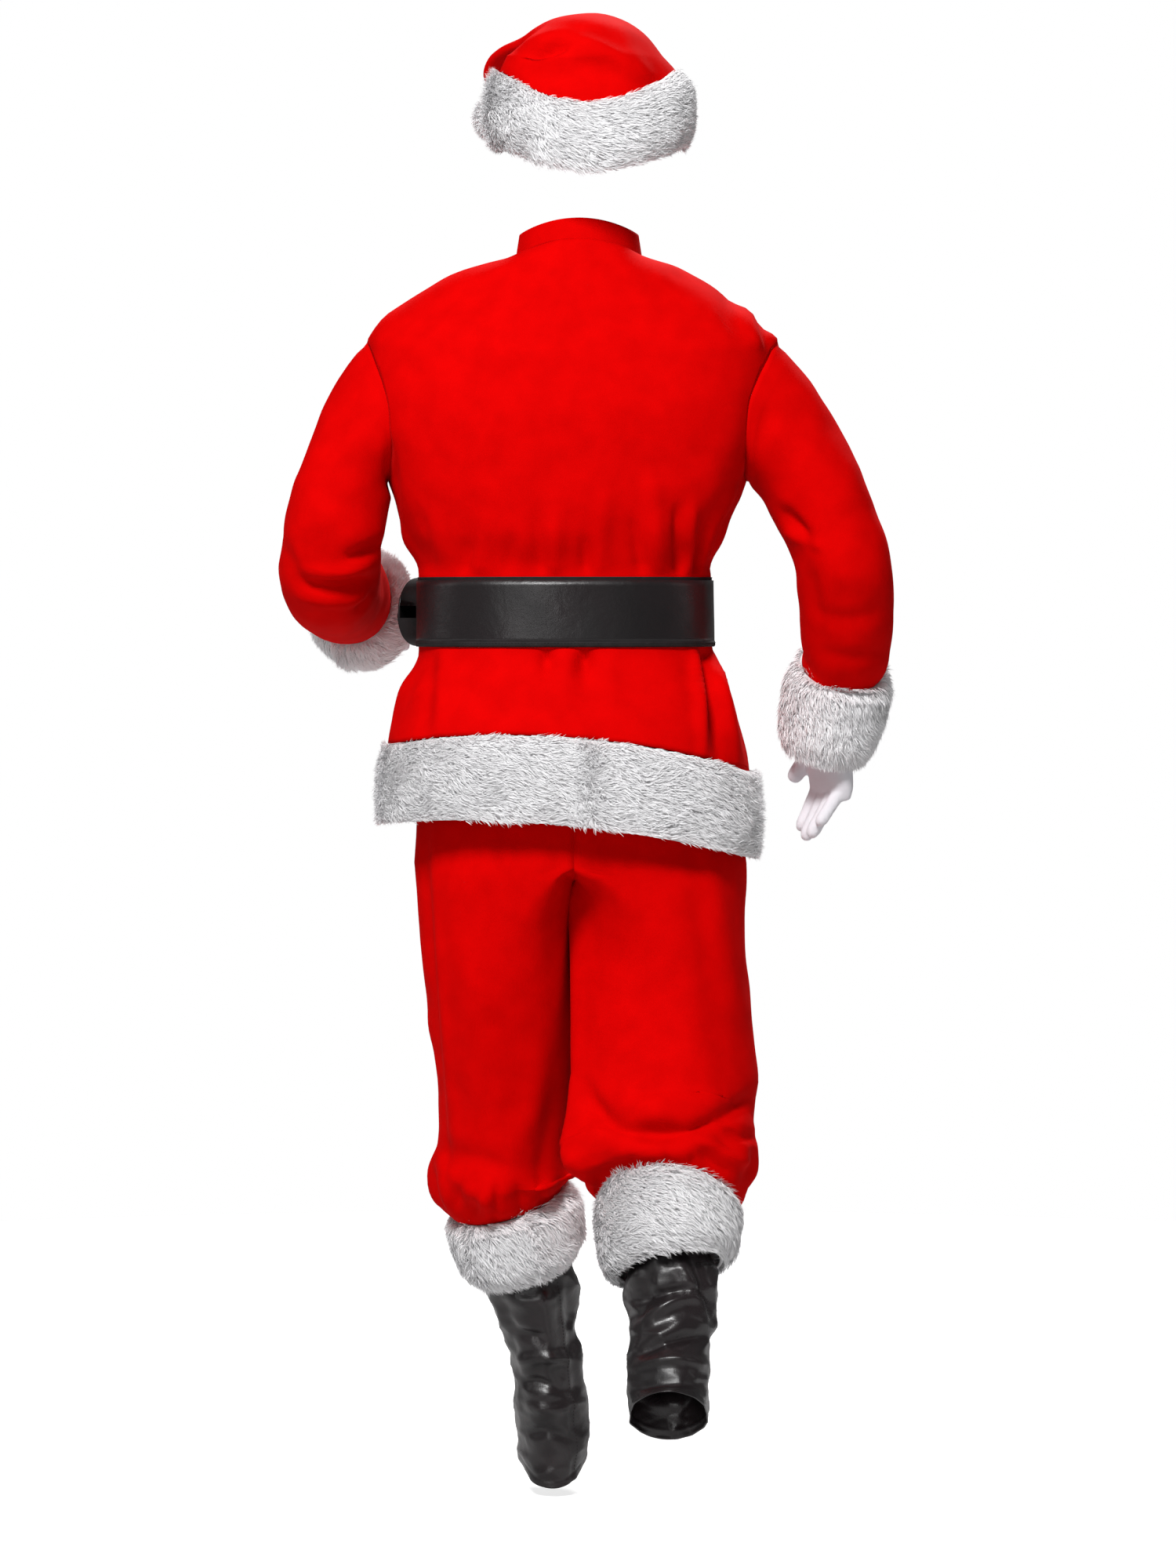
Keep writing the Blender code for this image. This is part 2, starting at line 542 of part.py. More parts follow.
def jacket():
    """Back, two fronts and two sleeves on one surface, with its collar and fur."""
    columns = np.arange(0, JACKET_COLUMNS, SAMPLE)
    points, numbers = grid(jacket_body, JACKET_ROWS, columns)
    body = numbers.copy()
    inner = slice(HOLE_FIRST + 1, HOLE_FIRST + HOLE_CELLS)
    reach = HOLE_CELLS // 2
    for side, centre in SIDE_COLUMN.items():
        middle = round(centre / SAMPLE)
        body[inner, np.arange(middle - reach + 1, middle + reach) % len(columns)] = -1
    side_seam, front_seam = len(columns) // 2, 3 * len(columns) // 4
    panels = {
        "jacket_back": quads(body[:, : side_seam + 1]),
        "jacket_front_right": quads(body[:, side_seam : front_seam + 1]),
        "jacket_front_left": quads(wrapped(body)[:, front_seam:]),
    }
    for side, name in ((1, "jacket_sleeve_left"), (-1, "jacket_sleeve_right")):
        steps = np.arange(0, LOOP_STEPS, SAMPLE)
        rows, loop_columns = armhole(steps, side)
        row_index = HOLE_FIRST + ((rows - JACKET_ROWS[HOLE_FIRST]) / SAMPLE).round().astype(int)
        column_index = (loop_columns / SAMPLE).round().astype(int) % len(columns)
        first = numbers[row_index, column_index]
        more, table = grid(lambda r, c, side=side: sleeve(r, c, side), np.arange(1, SLEEVE_END + 1), steps)
        panels[name] = quads(wrapped(np.vstack([first, table + len(points)])))
        points = np.vstack([points, more])
    normals = normals_of(points, sum(panels.values(), []))
    points = crease(points, normals, JACKET_FOLDS)
    for name, faces in panels.items():
        wall(name, points, normals, faces, RED, PLUSH)

    collar_rows, collar_columns = (0, 0.5, 0.98), np.arange(36, 84.1, 2 * SAMPLE)
    points, numbers = grid(
        lambda r, c: worn_ring(COLLAR, r, 2 * np.pi * c / JACKET_COLUMNS), collar_rows, collar_columns
    )
    faces = quads(numbers)
    wall("jacket_collar", points, normals_of(points, faces), faces, RED, PLUSH)
    fur_band(
        "fur_hem",
        lambda r, c: worn_ring(JACKET, r, 2 * np.pi * c / JACKET_COLUMNS),
        HEM_ROWS,
        columns,
    )
    cuffs = (("left", SLEEVE_LEFT, CUFF_LEFT, 1), ("right", SLEEVE_RIGHT, CUFF_RIGHT, -1))
    for word, arm, cuff, side in cuffs:
        surface = carried_on(arm, SLEEVE_END, cuff, side)
        fur_band(f"fur_cuff_{word}", surface, CUFF_ROWS, np.arange(CUFF_COLUMNS))


def cinched(row, column):
    """The jacket's waist under the belt, straight between its rings."""
    angle, share = 2 * np.pi * column / JACKET_COLUMNS, (row[..., None] - 14) / 2
    top, bottom = np.full_like(row, 14), np.full_like(row, 16)
    return worn_ring(JACKET, top, angle) * (1 - share) + worn_ring(JACKET, bottom, angle) * share


def belt():
    """One strap: it goes once round the waist and on over itself to a free end that stands off."""
    columns = np.arange(BELT_START, BELT_END, SAMPLE)
    points, numbers = grid(cinched, BELT_ROWS, columns)
    faces = quads(numbers)
    normals = normals_of(points, faces)
    doubled, free = smooth((columns - DOUBLED_FROM) / 5), smooth((columns - FREE_FROM) / 6.5)
    lift = np.tile(BELT_CLEAR + BELT_DOUBLED * doubled + BELT_FREE * free, len(BELT_ROWS))
    edge = per_row((BOUND_EDGE, 0, 0, BOUND_EDGE), numbers)
    end_columns = np.tile(columns, len(BELT_ROWS))
    narrow = 0.55 * np.clip((end_columns - (BELT_END - 1.5)) / 1.5, 0, 1) ** 2
    middle = np.tile(points.reshape(len(BELT_ROWS), -1, 3)[1:3].mean(0), (len(BELT_ROWS), 1))
    points = points + (middle - points) * narrow[:, None]
    wall("belt_strap", points, normals, faces, BLACK, -lift, lift + LEATHER + edge, pull=0)

    centre = worn_ring(JACKET, np.array(15.0), np.array(1.5 * np.pi))
    front = centre[1] - BUCKLE_OUT
    half_width, half_height, bar = 0.048, 0.052, 0.0032
    path = bpy.data.curves.new("belt_buckle", "CURVE")
    path.dimensions = "3D"
    path.bevel_depth = bar
    path.bevel_resolution = 1
    line = path.splines.new("POLY")
    angles = np.linspace(0, 2 * np.pi, BUCKLE_POINTS, endpoint=False)
    line.points.add(len(angles) - 1)
    for point, angle in zip(line.points, angles):
        c, s = math.cos(angle), math.sin(angle)
        x = centre[0] + half_width * math.copysign(abs(c) ** BUCKLE_CORNER, c)
        z = centre[2] + half_height * math.copysign(abs(s) ** BUCKLE_CORNER, s)
        point.co = (x, front, z, 1)
    line.use_cyclic_u = True
    frame = bpy.data.objects.new("belt_buckle", path)
    frame.data.materials.append(material("belt_buckle", GOLD))
    bpy.context.scene.collection.objects.link(frame)

    prong_half, prong_reach = 0.0024, half_width - bar - SEAM_GAP
    bm = bmesh.new()
    bmesh.ops.create_cube(bm, size=1)
    bmesh.ops.scale(bm, vec=(2 * prong_reach, 2 * prong_half, 2 * prong_half), verts=bm.verts)
    bmesh.ops.translate(bm, vec=(centre[0], front, centre[2]), verts=bm.verts)
    bmesh.ops.bevel(bm, geom=bm.edges[:], offset=0.0008, segments=2, affect="EDGES")
    mesh = bpy.data.meshes.new("belt_prong")
    bm.to_mesh(mesh)
    bm.free()
    mesh.materials.append(material("belt_prong", GOLD))
    bpy.context.scene.collection.objects.link(bpy.data.objects.new("belt_prong", mesh))


def trousers():
    """Two legs that meet at the centre front, centre back and crotch, a waistband and fur cuffs."""
    legs = (("left", LEG_LEFT, TROUSER_CUFF_LEFT, 1), ("right", LEG_RIGHT, TROUSER_CUFF_RIGHT, -1))
    points, panels = np.zeros((0, 3)), {}
    for word, leg, cuff, side in legs:
        half, numbers = grid(
            lambda r, c, side=side: trouser_leg(r, c, side), LEG_ROWS, np.arange(LEG_COLUMNS)
        )
        numbers = wrapped(numbers + len(points))
        lower = quads(numbers[CROTCH_INDEX:], flip=side < 0)
        upper = quads(numbers[: CROTCH_INDEX + 1, : LEG_LATERAL + 1], flip=side < 0)
        panels[f"trousers_{word}"] = upper + lower
        points = np.vstack([points, half])
        surface = carried_on(leg, LEG_END, cuff, side)
        fur_band(f"fur_ankle_{word}", surface, CUFF_ROWS, np.arange(CUFF_COLUMNS))
    normals = normals_of(points, sum(panels.values(), []))
    points = crease(points, normals, TROUSER_FOLDS)
    for name, faces in panels.items():
        wall(name, points, normals, faces, RED, PLUSH)

    def waist(row, column):
        angle = 2 * np.pi * column / WAIST_COLUMNS
        left, _, right, back_y, front_y, z = read(HIPS, 0)
        x = (left + right) / 2 + (left - right) / 2 * np.sign(np.cos(angle)) * np.abs(np.cos(angle)) ** 0.87
        y = np.where(np.sin(angle) > 0, back_y, -front_y) * np.sign(np.sin(angle))
        y = y * np.abs(np.sin(angle)) ** 0.87
        return np.stack(np.broadcast_arrays(x, y, z - 0.0004 + 0.034 * (1 - row)), -1)

    points, numbers = grid(waist, (0, 0.98), np.arange(WAIST_COLUMNS))
    faces = quads(wrapped(numbers))
    wall("trousers_waistband", points, normals_of(points, faces), faces, RED, ELASTIC)


def boot_covers():
    """Soft black tubes over the shins, open above and below, wide over the instep."""
    for word, table, side in (("left", BOOT_LEFT, 1), ("right", BOOT_RIGHT, -1)):

        def shaft(row, column, table=table, side=side):
            angle = 2 * np.pi * column / BOOT_COLUMNS
            wrinkle = np.sin(2.1 * row + 2 * np.cos(angle) + side) * np.sin(angle * 2 + row)
            point = tube(table, row, angle, (side, 0.0, 0.0))
            return point + unit(point - read(table, row)[..., :3]) * BOOT_WRINKLE * wrinkle[..., None]

        points, numbers = grid(shaft, BOOT_ROWS, np.arange(BOOT_COLUMNS))
        faces = quads(wrapped(numbers))
        normals = normals_of(points, faces)
        wall(f"boot_cover_{word}", points, normals, faces, BLACK, BOOT_COVER)


def hat():
    """Brim, crown and pompom."""
    brim_columns = np.arange(BRIM_COLUMNS)
    fur_band(
        "hat_brim",
        lambda r, c: worn_ring(BRIM, r, 2 * np.pi * c / BRIM_COLUMNS),
        (0.03, 0.5, 1.5, 2.5, 3),
        brim_columns,
    )
    points, numbers = grid(
        lambda r, c: hat_crown(r, 2 * np.pi * c / BRIM_COLUMNS), np.arange(10), brim_columns
    )
    numbers = wrapped(numbers)
    tip = len(points)
    points = np.vstack([points, points[numbers[-1, :-1]].mean(0) - (0, 0, 0.002)])
    closing = [(int(a), int(b), tip) for a, b in zip(numbers[-1, :-1], numbers[-1, 1:])]
    faces = quads(numbers, flip=True) + closing
    normals = normals_of(points, faces)
    wall("hat_crown", points, normals, faces, RED, PLUSH)

    bm = bmesh.new()
    bmesh.ops.create_icosphere(bm, subdivisions=2, radius=POMPOM_CORE)
    bmesh.ops.poke(bm, faces=bm.faces[:], offset=POMPOM_LOCK)
    bmesh.ops.translate(bm, vec=POMPOM_AT, verts=bm.verts)
    mesh = bpy.data.meshes.new("hat_pompom")
    bm.to_mesh(mesh)
    bm.free()
    mesh.materials.append(material("hat_pompom", WHITE_FUR))
    bpy.context.scene.collection.objects.link(bpy.data.objects.new("hat_pompom", mesh))


def rings_mesh(rings):
    """A closed mesh through rings of points, with a flat cap at each end."""
    rings = [np.asarray(r) for r in rings]
    count, sides = len(rings), len(rings[0])
    faces = [
        (i * sides + j, (i + 1) * sides + j, (i + 1) * sides + (j + 1) % sides, i * sides + (j + 1) % sides)
        for i in range(count - 1)
        for j in range(sides)
    ]
    faces.append(tuple(range(sides)))
    faces.append(tuple((count - 1) * sides + j for j in reversed(range(sides))))
    return np.vstack(rings), faces


def glove(name, wrist, along, across, hand):
    """A knitted glove, open at the wrist. `hand` is 1 for the left and -1 for the right."""
    along = unit(along)
    across = unit(np.asarray(across) - along * (along @ np.asarray(across)))
    palmward = np.cross(across, along) * hand
    frame = np.stack([across, along, palmward])

    def body(kind, points, faces):
        points = np.asarray(wrist) + points @ frame
        faces = [face[::-1] for face in faces] if hand < 0 else faces
        piece = show(f"{name}{kind}", points, faces, WHITE_KNIT)
        if kind:
            piece.hide_render = True
            piece.display_type = "WIRE"
        return piece

    def palm_rings(inset, start):
        turn = np.linspace(0, 2 * np.pi, PALM_SIDES, endpoint=False)
        made = []
        for at, wide, deep in PALM:
            at = min(max(at, 0), PALM[-1][0] - inset) if at else start
            across_points = (wide - inset) * np.sign(np.cos(turn)) * np.abs(np.cos(turn)) ** 0.8
            deep_points = (deep - inset) * np.sign(np.sin(turn)) * np.abs(np.sin(turn)) ** 0.8
            made.append(np.stack([across_points, np.full(PALM_SIDES, at), deep_points], -1))
        return made

    def digit_rings(root, tip, radius, inset):
        direction = unit(np.asarray(tip) - np.asarray(root))
        turn = np.linspace(0, 2 * np.pi, DIGIT_SIDES, endpoint=False) + 0.2
        length = np.linalg.norm(np.asarray(tip) - np.asarray(root))
        made = []
        for reach, share in ((0.0, 1.0), (0.84, 0.97), (1.0, 0.42)):
            centre = np.asarray(root) + direction * (length * reach - inset * reach)
            half = (radius - inset) * share
            halves = np.full(DIGIT_SIDES, half)
            made.append(ring(centre, direction, np.array([0, 0, 1.0]), turn, halves, halves))
        return made

    outer = body("", *rings_mesh(palm_rings(0, 0.0)))
    cutters = [("DIFFERENCE", body("_palm_cut", *rings_mesh(palm_rings(KNIT, -0.01))))]
    joined = []
    for i, (*ends, radius) in enumerate(DIGITS):
        joined.append(("UNION", body(f"_digit_{i}", *rings_mesh(digit_rings(ends[:3], ends[3:], radius, 0)))))
        inner = body(f"_digit_cut_{i}", *rings_mesh(digit_rings(ends[:3], ends[3:], radius, KNIT)))
        cutters.append(("DIFFERENCE", inner))
    for operation, other in joined + cutters:
        step = outer.modifiers.new(other.name, "BOOLEAN")
        step.operation = operation
        step.solver = "EXACT"
        step.object = other


for old in list(bpy.data.objects):
    bpy.data.objects.remove(old)
jacket()
belt()
trousers()
boot_covers()
hat()
glove("glove_right", (-0.3055, -0.080, -0.560), (-0.06, -0.10, -0.99), (-0.50, 0.86, 0.0), -1)
glove("glove_left", (0.2765, -0.285, -0.418), (-0.30, -0.94, -0.12), (0.60, 0.0, -0.80), 1)
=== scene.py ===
# %% [markdown]
# A Santa suit is a hat, a jacket with a belt, wide trousers, boot covers and gloves, all soft. It is shown as
# if somebody wore it, with nobody inside, so every piece is a thin sheet that keeps its worn form. The packed
# solids give each piece its place and size. A finer piece of the same form takes the place of each of them.

import math

import bmesh
import bpy
import numpy as np
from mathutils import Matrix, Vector, noise
from mathutils.kdtree import KDTree


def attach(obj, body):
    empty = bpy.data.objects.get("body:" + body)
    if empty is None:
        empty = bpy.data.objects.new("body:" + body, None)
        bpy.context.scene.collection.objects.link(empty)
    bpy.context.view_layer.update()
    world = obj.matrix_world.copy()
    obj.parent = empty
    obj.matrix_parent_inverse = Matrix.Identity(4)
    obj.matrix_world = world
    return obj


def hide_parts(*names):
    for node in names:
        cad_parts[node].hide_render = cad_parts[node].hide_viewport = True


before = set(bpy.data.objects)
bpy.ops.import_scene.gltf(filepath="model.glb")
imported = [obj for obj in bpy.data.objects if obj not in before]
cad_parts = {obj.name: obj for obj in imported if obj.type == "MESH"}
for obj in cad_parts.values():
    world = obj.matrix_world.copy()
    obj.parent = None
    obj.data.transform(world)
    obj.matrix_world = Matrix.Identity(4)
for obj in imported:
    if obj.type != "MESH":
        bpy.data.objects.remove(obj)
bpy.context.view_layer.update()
print("nodes in the packed suit:", len(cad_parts))

# %% [markdown]
# A sewn garment is not a tube or a box. It is wide where the body is wide and drawn in where a belt or an
# elastic holds it. A short table of rings says so in a few numbers, and a smooth curve between its rows fills
# in the rest. A curve that swings past its rows would make dents in the cloth, so this one never does.

# %% A smooth curve through a table's rows
def millimetres(rows, plain=()):
    """A table in metres. Its first column and the plain ones are no lengths, and stay as they are."""
    table = np.array(rows, float)
    lengths = [n for n in range(1, table.shape[1]) if n not in plain]
    table[:, lengths] /= 1000
    return table


def hermite(t, start, leave, end, arrive):
    """From start to end while t goes from 0 to 1, with a given slope at either end."""
    return (
        (2 * t**3 - 3 * t**2 + 1) * start + (t**3 - 2 * t**2 + t) * leave
        + (3 * t**2 - 2 * t**3) * end + (t**3 - t**2) * arrive
    )


def read(table, place):
    key, values = table[:, 0], table[:, 1:]
    step = np.diff(key)[:, None]
    rise = np.diff(values, axis=0) / step
    near, far = rise[:-1], rise[1:]
    mean = 3 * (step[:-1] + step[1:]) * near * far
    weight = (2 * step[1:] + step[:-1]) * far + (step[1:] + 2 * step[:-1]) * near
    inner = np.where(near * far > 0, mean / np.where(weight == 0, 1, weight), 0)
    slopes = np.vstack([rise[:1], inner, rise[-1:]])
    place = np.clip(np.asarray(place, float), key[0], key[-1])
    index = np.clip(np.searchsorted(key, place, side="right") - 1, 0, len(key) - 2)
    width = (key[index + 1] - key[index])[..., None]
    t = (place - key[index])[..., None] / width
    return hermite(t, values[index], width * slopes[index], values[index + 1], width * slopes[index + 1])


def unit(vector):
    vector = np.asarray(vector, float)
    return vector / np.maximum(np.linalg.norm(vector, axis=-1, keepdims=True), 1e-12)


def smooth(value):
    value = np.clip(value, 0, 1)
    return value * value * (3 - 2 * value)


# %% [markdown]
# Two kinds of ring are enough for a whole suit. A ring round the body has a left, right, back and front that
# lie at different heights, as a hem does. A ring round an arm or a leg is an oval, square to a centre line
# that bends. Angles start at the wearer's left, and pass the back on their way to the right.

# %% Rings round the body and round a bent limb
TIP_STEP = 0.02


def worn_ring(table, row, angle):
    values = np.moveaxis(read(table, row), -1, 0)
    left, right, side_z, back_y, back_z, front_y, front_z, square, lean = values
    cosine, sine = np.cos(angle), np.sin(angle)
    power = 2 / square
    x = (left + right) / 2 + (left - right) / 2 * np.sign(cosine) * np.abs(cosine) ** power
    y = np.where(sine > 0, back_y, front_y) * np.abs(sine) ** power
    z = side_z + (np.where(sine > 0, back_z, front_z) - side_z) * sine**2 + lean * x
    return np.stack(np.broadcast_arrays(x, y, z), -1)


def ring(centre, along, towards, angle, first_half, second_half):
    first = unit(towards - along * np.sum(along * towards, -1, keepdims=True))
    second = np.cross(first, along)
    across = first * (np.cos(angle) * first_half)[..., None]
    return centre + across + second * (np.sin(angle) * second_half)[..., None]


def tube(table, row, angle, towards):
    here = read(table, row)
    along = unit((read(table, row + TIP_STEP) - read(table, row - TIP_STEP))[..., :3])
    return ring(here[..., :3], along, np.asarray(towards, float), angle, here[..., 3], here[..., 4])


# %% [markdown]
# The camera stands behind the suit, at the height of the waist, 6.5 m away with a long lens. Knowing where
# it stands also helps to shape the cloth: a fold can be given as a line in the picture, and every point of
# the cloth can be asked how far from that line it would be seen.

# %% Where the camera stands, and where it sees a point
PICTURE = (1500, 2000)
EYE = np.array((-0.008, 6.5, -0.42))
PITCH = math.radians(1.87)
FIELD = math.radians(16.81)
FOCAL = PICTURE[1] / 2 / math.tan(FIELD / 2)
FORWARD = np.array((0.0, -math.cos(PITCH), -math.sin(PITCH)))
RIGHT = np.array((-1.0, 0.0, 0.0))
UP = np.array((0.0, -math.sin(PITCH), math.cos(PITCH)))


def seen_at(points):
    ray = points - EYE
    depth = ray @ FORWARD
    across = PICTURE[0] / 2 + FOCAL * (ray @ RIGHT) / depth
    down = PICTURE[1] / 2 - FOCAL * (ray @ UP) / depth
    return np.stack([across, down], -1)


print("the middle of the neck is seen at", seen_at(np.zeros(3)).round())

# %% [markdown]
# Folds are what makes cloth look like cloth. Each one here is a soft ridge or trough along a curve of three
# points in the picture, with a half width in picture points and a height in millimetres. The cloth moves
# along its own normal. The side that the camera doesn't see gets the same kind of folds, mirrored and a
# little lower, because the real front hangs from the same belt and seams.

# %% Lay soft folds along curves
MILLIMETRE = 0.001
CURVE_POINTS = 14
FOLD_STRENGTH = 1.7


def fold_heights(places, folds):
    moved = np.zeros(len(places))
    t = np.linspace(0, 1, CURVE_POINTS)[:, None]
    for *curve, half_width, height in folds:
        start, bend, end = np.reshape(curve, (3, 2))
        line = start * (1 - t) ** 2 + bend * 2 * t * (1 - t) + end * t**2
        close = np.abs(places - line.mean(0)).max(1) < np.ptp(line, axis=0).max() + 4 * half_width
        piece = line[1:] - line[:-1]
        to_start = places[close][:, None] - line[None, :-1]
        along = np.clip((to_start * piece).sum(2) / (piece**2).sum(1), 0, 1)
        gap = np.linalg.norm(to_start - along[..., None] * piece, axis=2)
        nearest = gap.argmin(1)
        reached = (nearest + along[np.arange(len(nearest)), nearest]) / len(piece)
        ends = 0.25 + 0.75 * np.sin(np.pi * reached) ** 0.7
        moved[close] += FOLD_STRENGTH * height * MILLIMETRE * np.exp(-((gap.min(1) / half_width) ** 2)) * ends
    return moved


def fold(points, normals, folds, hidden):
    places = seen_at(points)
    back = np.clip(normals[:, 1] * 2 + 0.6, 0, 1)
    mirrored = places.copy()
    mirrored[:, 0] = 2 * seen_at(np.zeros(3))[0] - mirrored[:, 0]
    moved = fold_heights(places, folds) * back
    moved += fold_heights(mirrored, folds) * hidden * np.clip(-normals[:, 1] * 2 - 0.2, 0, 1)
    return points + normals * moved[:, None]


def worked(surface, normals, bumps, folds=(), hidden=0.7):
    """A grid that uneven bumps, each a (size, height, seed), and then folds move along its normals."""
    points, out = surface.reshape(-1, 3), normals.reshape(-1, 3)
    for size, height, seed in bumps:
        shift = Vector((seed, seed * 0.7, seed * 1.3))
        lift = [noise.noise(Vector(p) / size + shift) for p in points]
        points = points + out * (np.array(lift) * height)[:, None]
    return fold(points, out, folds, hidden).reshape(surface.shape)


# %% [markdown]
# Every sheet starts as a grid of points: rows run down the cloth and columns run round it. Blender's Solidify
# then gives the sheet the thickness of real cloth, inwards, so that the outside stays where it was put. The
# grid also carries UVs in metres, so that a weave keeps its size on every piece.

# %% Make a sheet from a grid of points
def grid(surface, rows, columns):
    down, across = np.meshgrid(np.asarray(rows, float), np.asarray(columns, float), indexing="ij")
    return surface(down, across)


def grid_normals(points, closed=True, flip=False):
    if closed:
        wide = np.concatenate([points[:, -1:], points, points[:, :1]], 1)
        across = (wide[:, 2:] - wide[:, :-2]) / 2
    else:
        across = np.gradient(points, axis=1)
    normals = unit(np.cross(np.gradient(points, axis=0), across))
    return -normals if flip else normals


def add(name, data):
    made = bpy.data.objects.new(name, data)
    bpy.context.scene.collection.objects.link(made)
    return made


def edit(mesh, change):
    """Open a mesh for one change to its faces, and close it again."""
    work = bmesh.new()
    work.from_mesh(mesh)
    change(work)
    work.to_mesh(mesh)
    work.free()


def drop_loose(work):
    bmesh.ops.delete(work, geom=[v for v in work.verts if not v.link_faces], context="VERTS")


def grid_mesh(name, points, closed=False, flip=False, skip=None):
    index = np.arange(points[..., 0].size).reshape(points.shape[:2])
    wrapped = points
    if closed:
        index, wrapped = (np.concatenate([a, a[:, :1]], 1) for a in (index, points))
    down = np.cumsum(np.r_[0, np.linalg.norm(np.diff(points, axis=0), axis=2).mean(1)])
    across = np.cumsum(np.r_[0, np.linalg.norm(np.diff(wrapped, axis=1), axis=2).mean(0)])
    v, u = np.meshgrid(-down, across, indexing="ij")
    corners, uv = (
        np.stack([a[:-1, :-1], a[1:, :-1], a[1:, 1:], a[:-1, 1:]], 2) for a in (index, np.stack([u, v], -1))
    )
    if flip:
        corners, uv = corners[:, :, ::-1], uv[:, :, ::-1]
    keep = np.ones(corners.shape[:2], bool) if skip is None else ~skip
    mesh = bpy.data.meshes.new(name)
    mesh.from_pydata(points.reshape(-1, 3).tolist(), [], corners[keep].tolist())
    mesh.uv_layers.new(name="cloth").data.foreach_set("uv", uv[keep].reshape(-1).astype(np.float32))
    mesh.shade_smooth()
    edit(mesh, drop_loose)
    return add(name, mesh)


def cloth(piece, thickness, look, node=None):
    if thickness:
        body = piece.modifiers.new("thickness", "SOLIDIFY")
        body.thickness = thickness
        body.offset = -1
    piece.data.materials.append(look)
    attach(piece, "root")
    if node:
        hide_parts(node)
    print(piece.name, "has", len(piece.data.polygons), "faces")
    return piece

# %% [markdown]
# Plush is a knitted back with a short, dense, napped pile. It has no weave to see. What shows is a soft
# mottle where the nap leans one way or another, a fine grain, and a faint bloom along every edge, where the
# pile is seen side on. A group gives the mottle and the grain. Sheen in the material gives the bloom, in red.

# %% Node groups: nap, hide, knit and strand
def put(tree, kind, links=(), **values):
    node = tree.nodes.new(kind)
    for key, value in values.items():
        if hasattr(node, key):
            setattr(node, key, value)
        else:
            node.inputs[key].default_value = value
    for socket, source in links:
        tree.links.new(source, node.inputs[socket])
    return node


def mapped(tree, source, low, high, to_low, to_high):
    ends = {"From Min": low, "From Max": high, "To Min": to_low, "To Max": to_high}
    return put(tree, "ShaderNodeMapRange", [("Value", source)], **ends).outputs["Result"]


def combined(tree, first, second, operation="ADD"):
    return put(tree, "ShaderNodeMath", [(0, first), (1, second)], operation=operation).outputs[0]


def texture(tree, kind, scale, **values):
    """A texture in the object's own space. Its scale is a number, or a socket of the group."""
    links = [("Vector", put(tree, "ShaderNodeTexCoord").outputs["Object"])]
    if isinstance(scale, float):
        values["Scale"] = scale
    else:
        links.append(("Scale", scale))
    return put(tree, f"ShaderNodeTex{kind}", links, **values).outputs[0 if kind == "Voronoi" else "Fac"]


def group(name, **inputs):
    """A new group with these inputs, whose sockets are given back by name."""
    tree = bpy.data.node_groups.new(name, "ShaderNodeTree")
    for label, value in inputs.items():
        socket = tree.interface.new_socket(label, in_out="INPUT", socket_type="NodeSocketFloat")
        socket.default_value = value
    return tree, tree.nodes.new("NodeGroupInput").outputs


def lead_out(tree, **results):
    for label in results:
        tree.interface.new_socket(label, in_out="OUTPUT", socket_type="NodeSocketFloat")
    end = tree.nodes.new("NodeGroupOutput")
    for label, source in results.items():
        tree.links.new(source, end.inputs[label])
    return tree


def nap_group():
    tree, start = group("nap", Grain=900.0, Mottle=28.0)
    fine = texture(tree, "Noise", start["Grain"], Detail=3.0)
    broad = texture(tree, "Noise", start["Mottle"], Detail=4.0)
    shade = combined(tree, mapped(tree, broad, 0.3, 0.7, 0.0, 0.72), mapped(tree, fine, 0.3, 0.7, 0.0, 0.28))
    return lead_out(tree, Shade=shade, Height=fine)


def hide_group():
    tree, start = group("hide", Grain=700.0, Crumple=45.0)
    cells = texture(tree, "Voronoi", start["Grain"])
    broad = texture(tree, "Noise", start["Crumple"], Detail=5.0, Roughness=0.6, Distortion=0.6)
    # The lighter patches of the hide are painted sheen: this noise lightens the colour there, and it also
    # makes those patches smoother, which is real gloss.
    sheen_patch = texture(tree, "Noise", 12.0, Detail=3.0)
    height = combined(tree, mapped(tree, cells, 0.0, 0.8, 0.0, 0.10), mapped(tree, broad, 0.2, 0.8, 0.0, 1.0))
    shade, gloss = (mapped(tree, sheen_patch, 0.35, high, 0.0, 1.0) for high in (0.68, 0.70))
    return lead_out(tree, Shade=shade, Gloss=gloss, Height=height)


def knit_group():
    tree, start = group("knit", Stitches=900.0)
    rows, loops = (
        texture(tree, "Wave", start["Stitches"], bands_direction=way, Distortion=1.5, Detail=2.0)
        for way in "ZX"
    )
    return lead_out(tree, Height=combined(tree, rows, loops, "MULTIPLY"))


def strand_group():
    tree, start = group("strand", Root=0.55, Patch=22.0)
    along = put(tree, "ShaderNodeSeparateXYZ", [(0, put(tree, "ShaderNodeUVMap").outputs["UV"])]).outputs["Y"]
    # Each fibre is painted darker towards its root, as painted shade deep in the pile; its tone also varies
    # at random in patches.
    root = put(tree, "ShaderNodeMapRange", [("Value", along), ("To Min", start["Root"])]).outputs["Result"]
    tone = mapped(tree, texture(tree, "Noise", start["Patch"], Detail=2.0), 0.3, 0.7, 0.90, 1.0)
    return lead_out(tree, Shade=combined(tree, root, tone, "MULTIPLY"))


GROUPS = {"nap": nap_group(), "hide": hide_group(), "knit": knit_group(), "strand": strand_group()}
print("node groups:", sorted(GROUPS))

# %% [markdown]
# Each material places one of the groups, mixes two colours by its shade and feeds its height to a Bump node.
# Values that are the same all over, such as the sheen's weight, are set on the shader itself.

# %% Materials: red plush, white fur, imitation leather, knit, gold
# The painted sheen patches of the hide are also smoother, by this much roughness.
SHEEN_PATCH_SMOOTH = 0.16


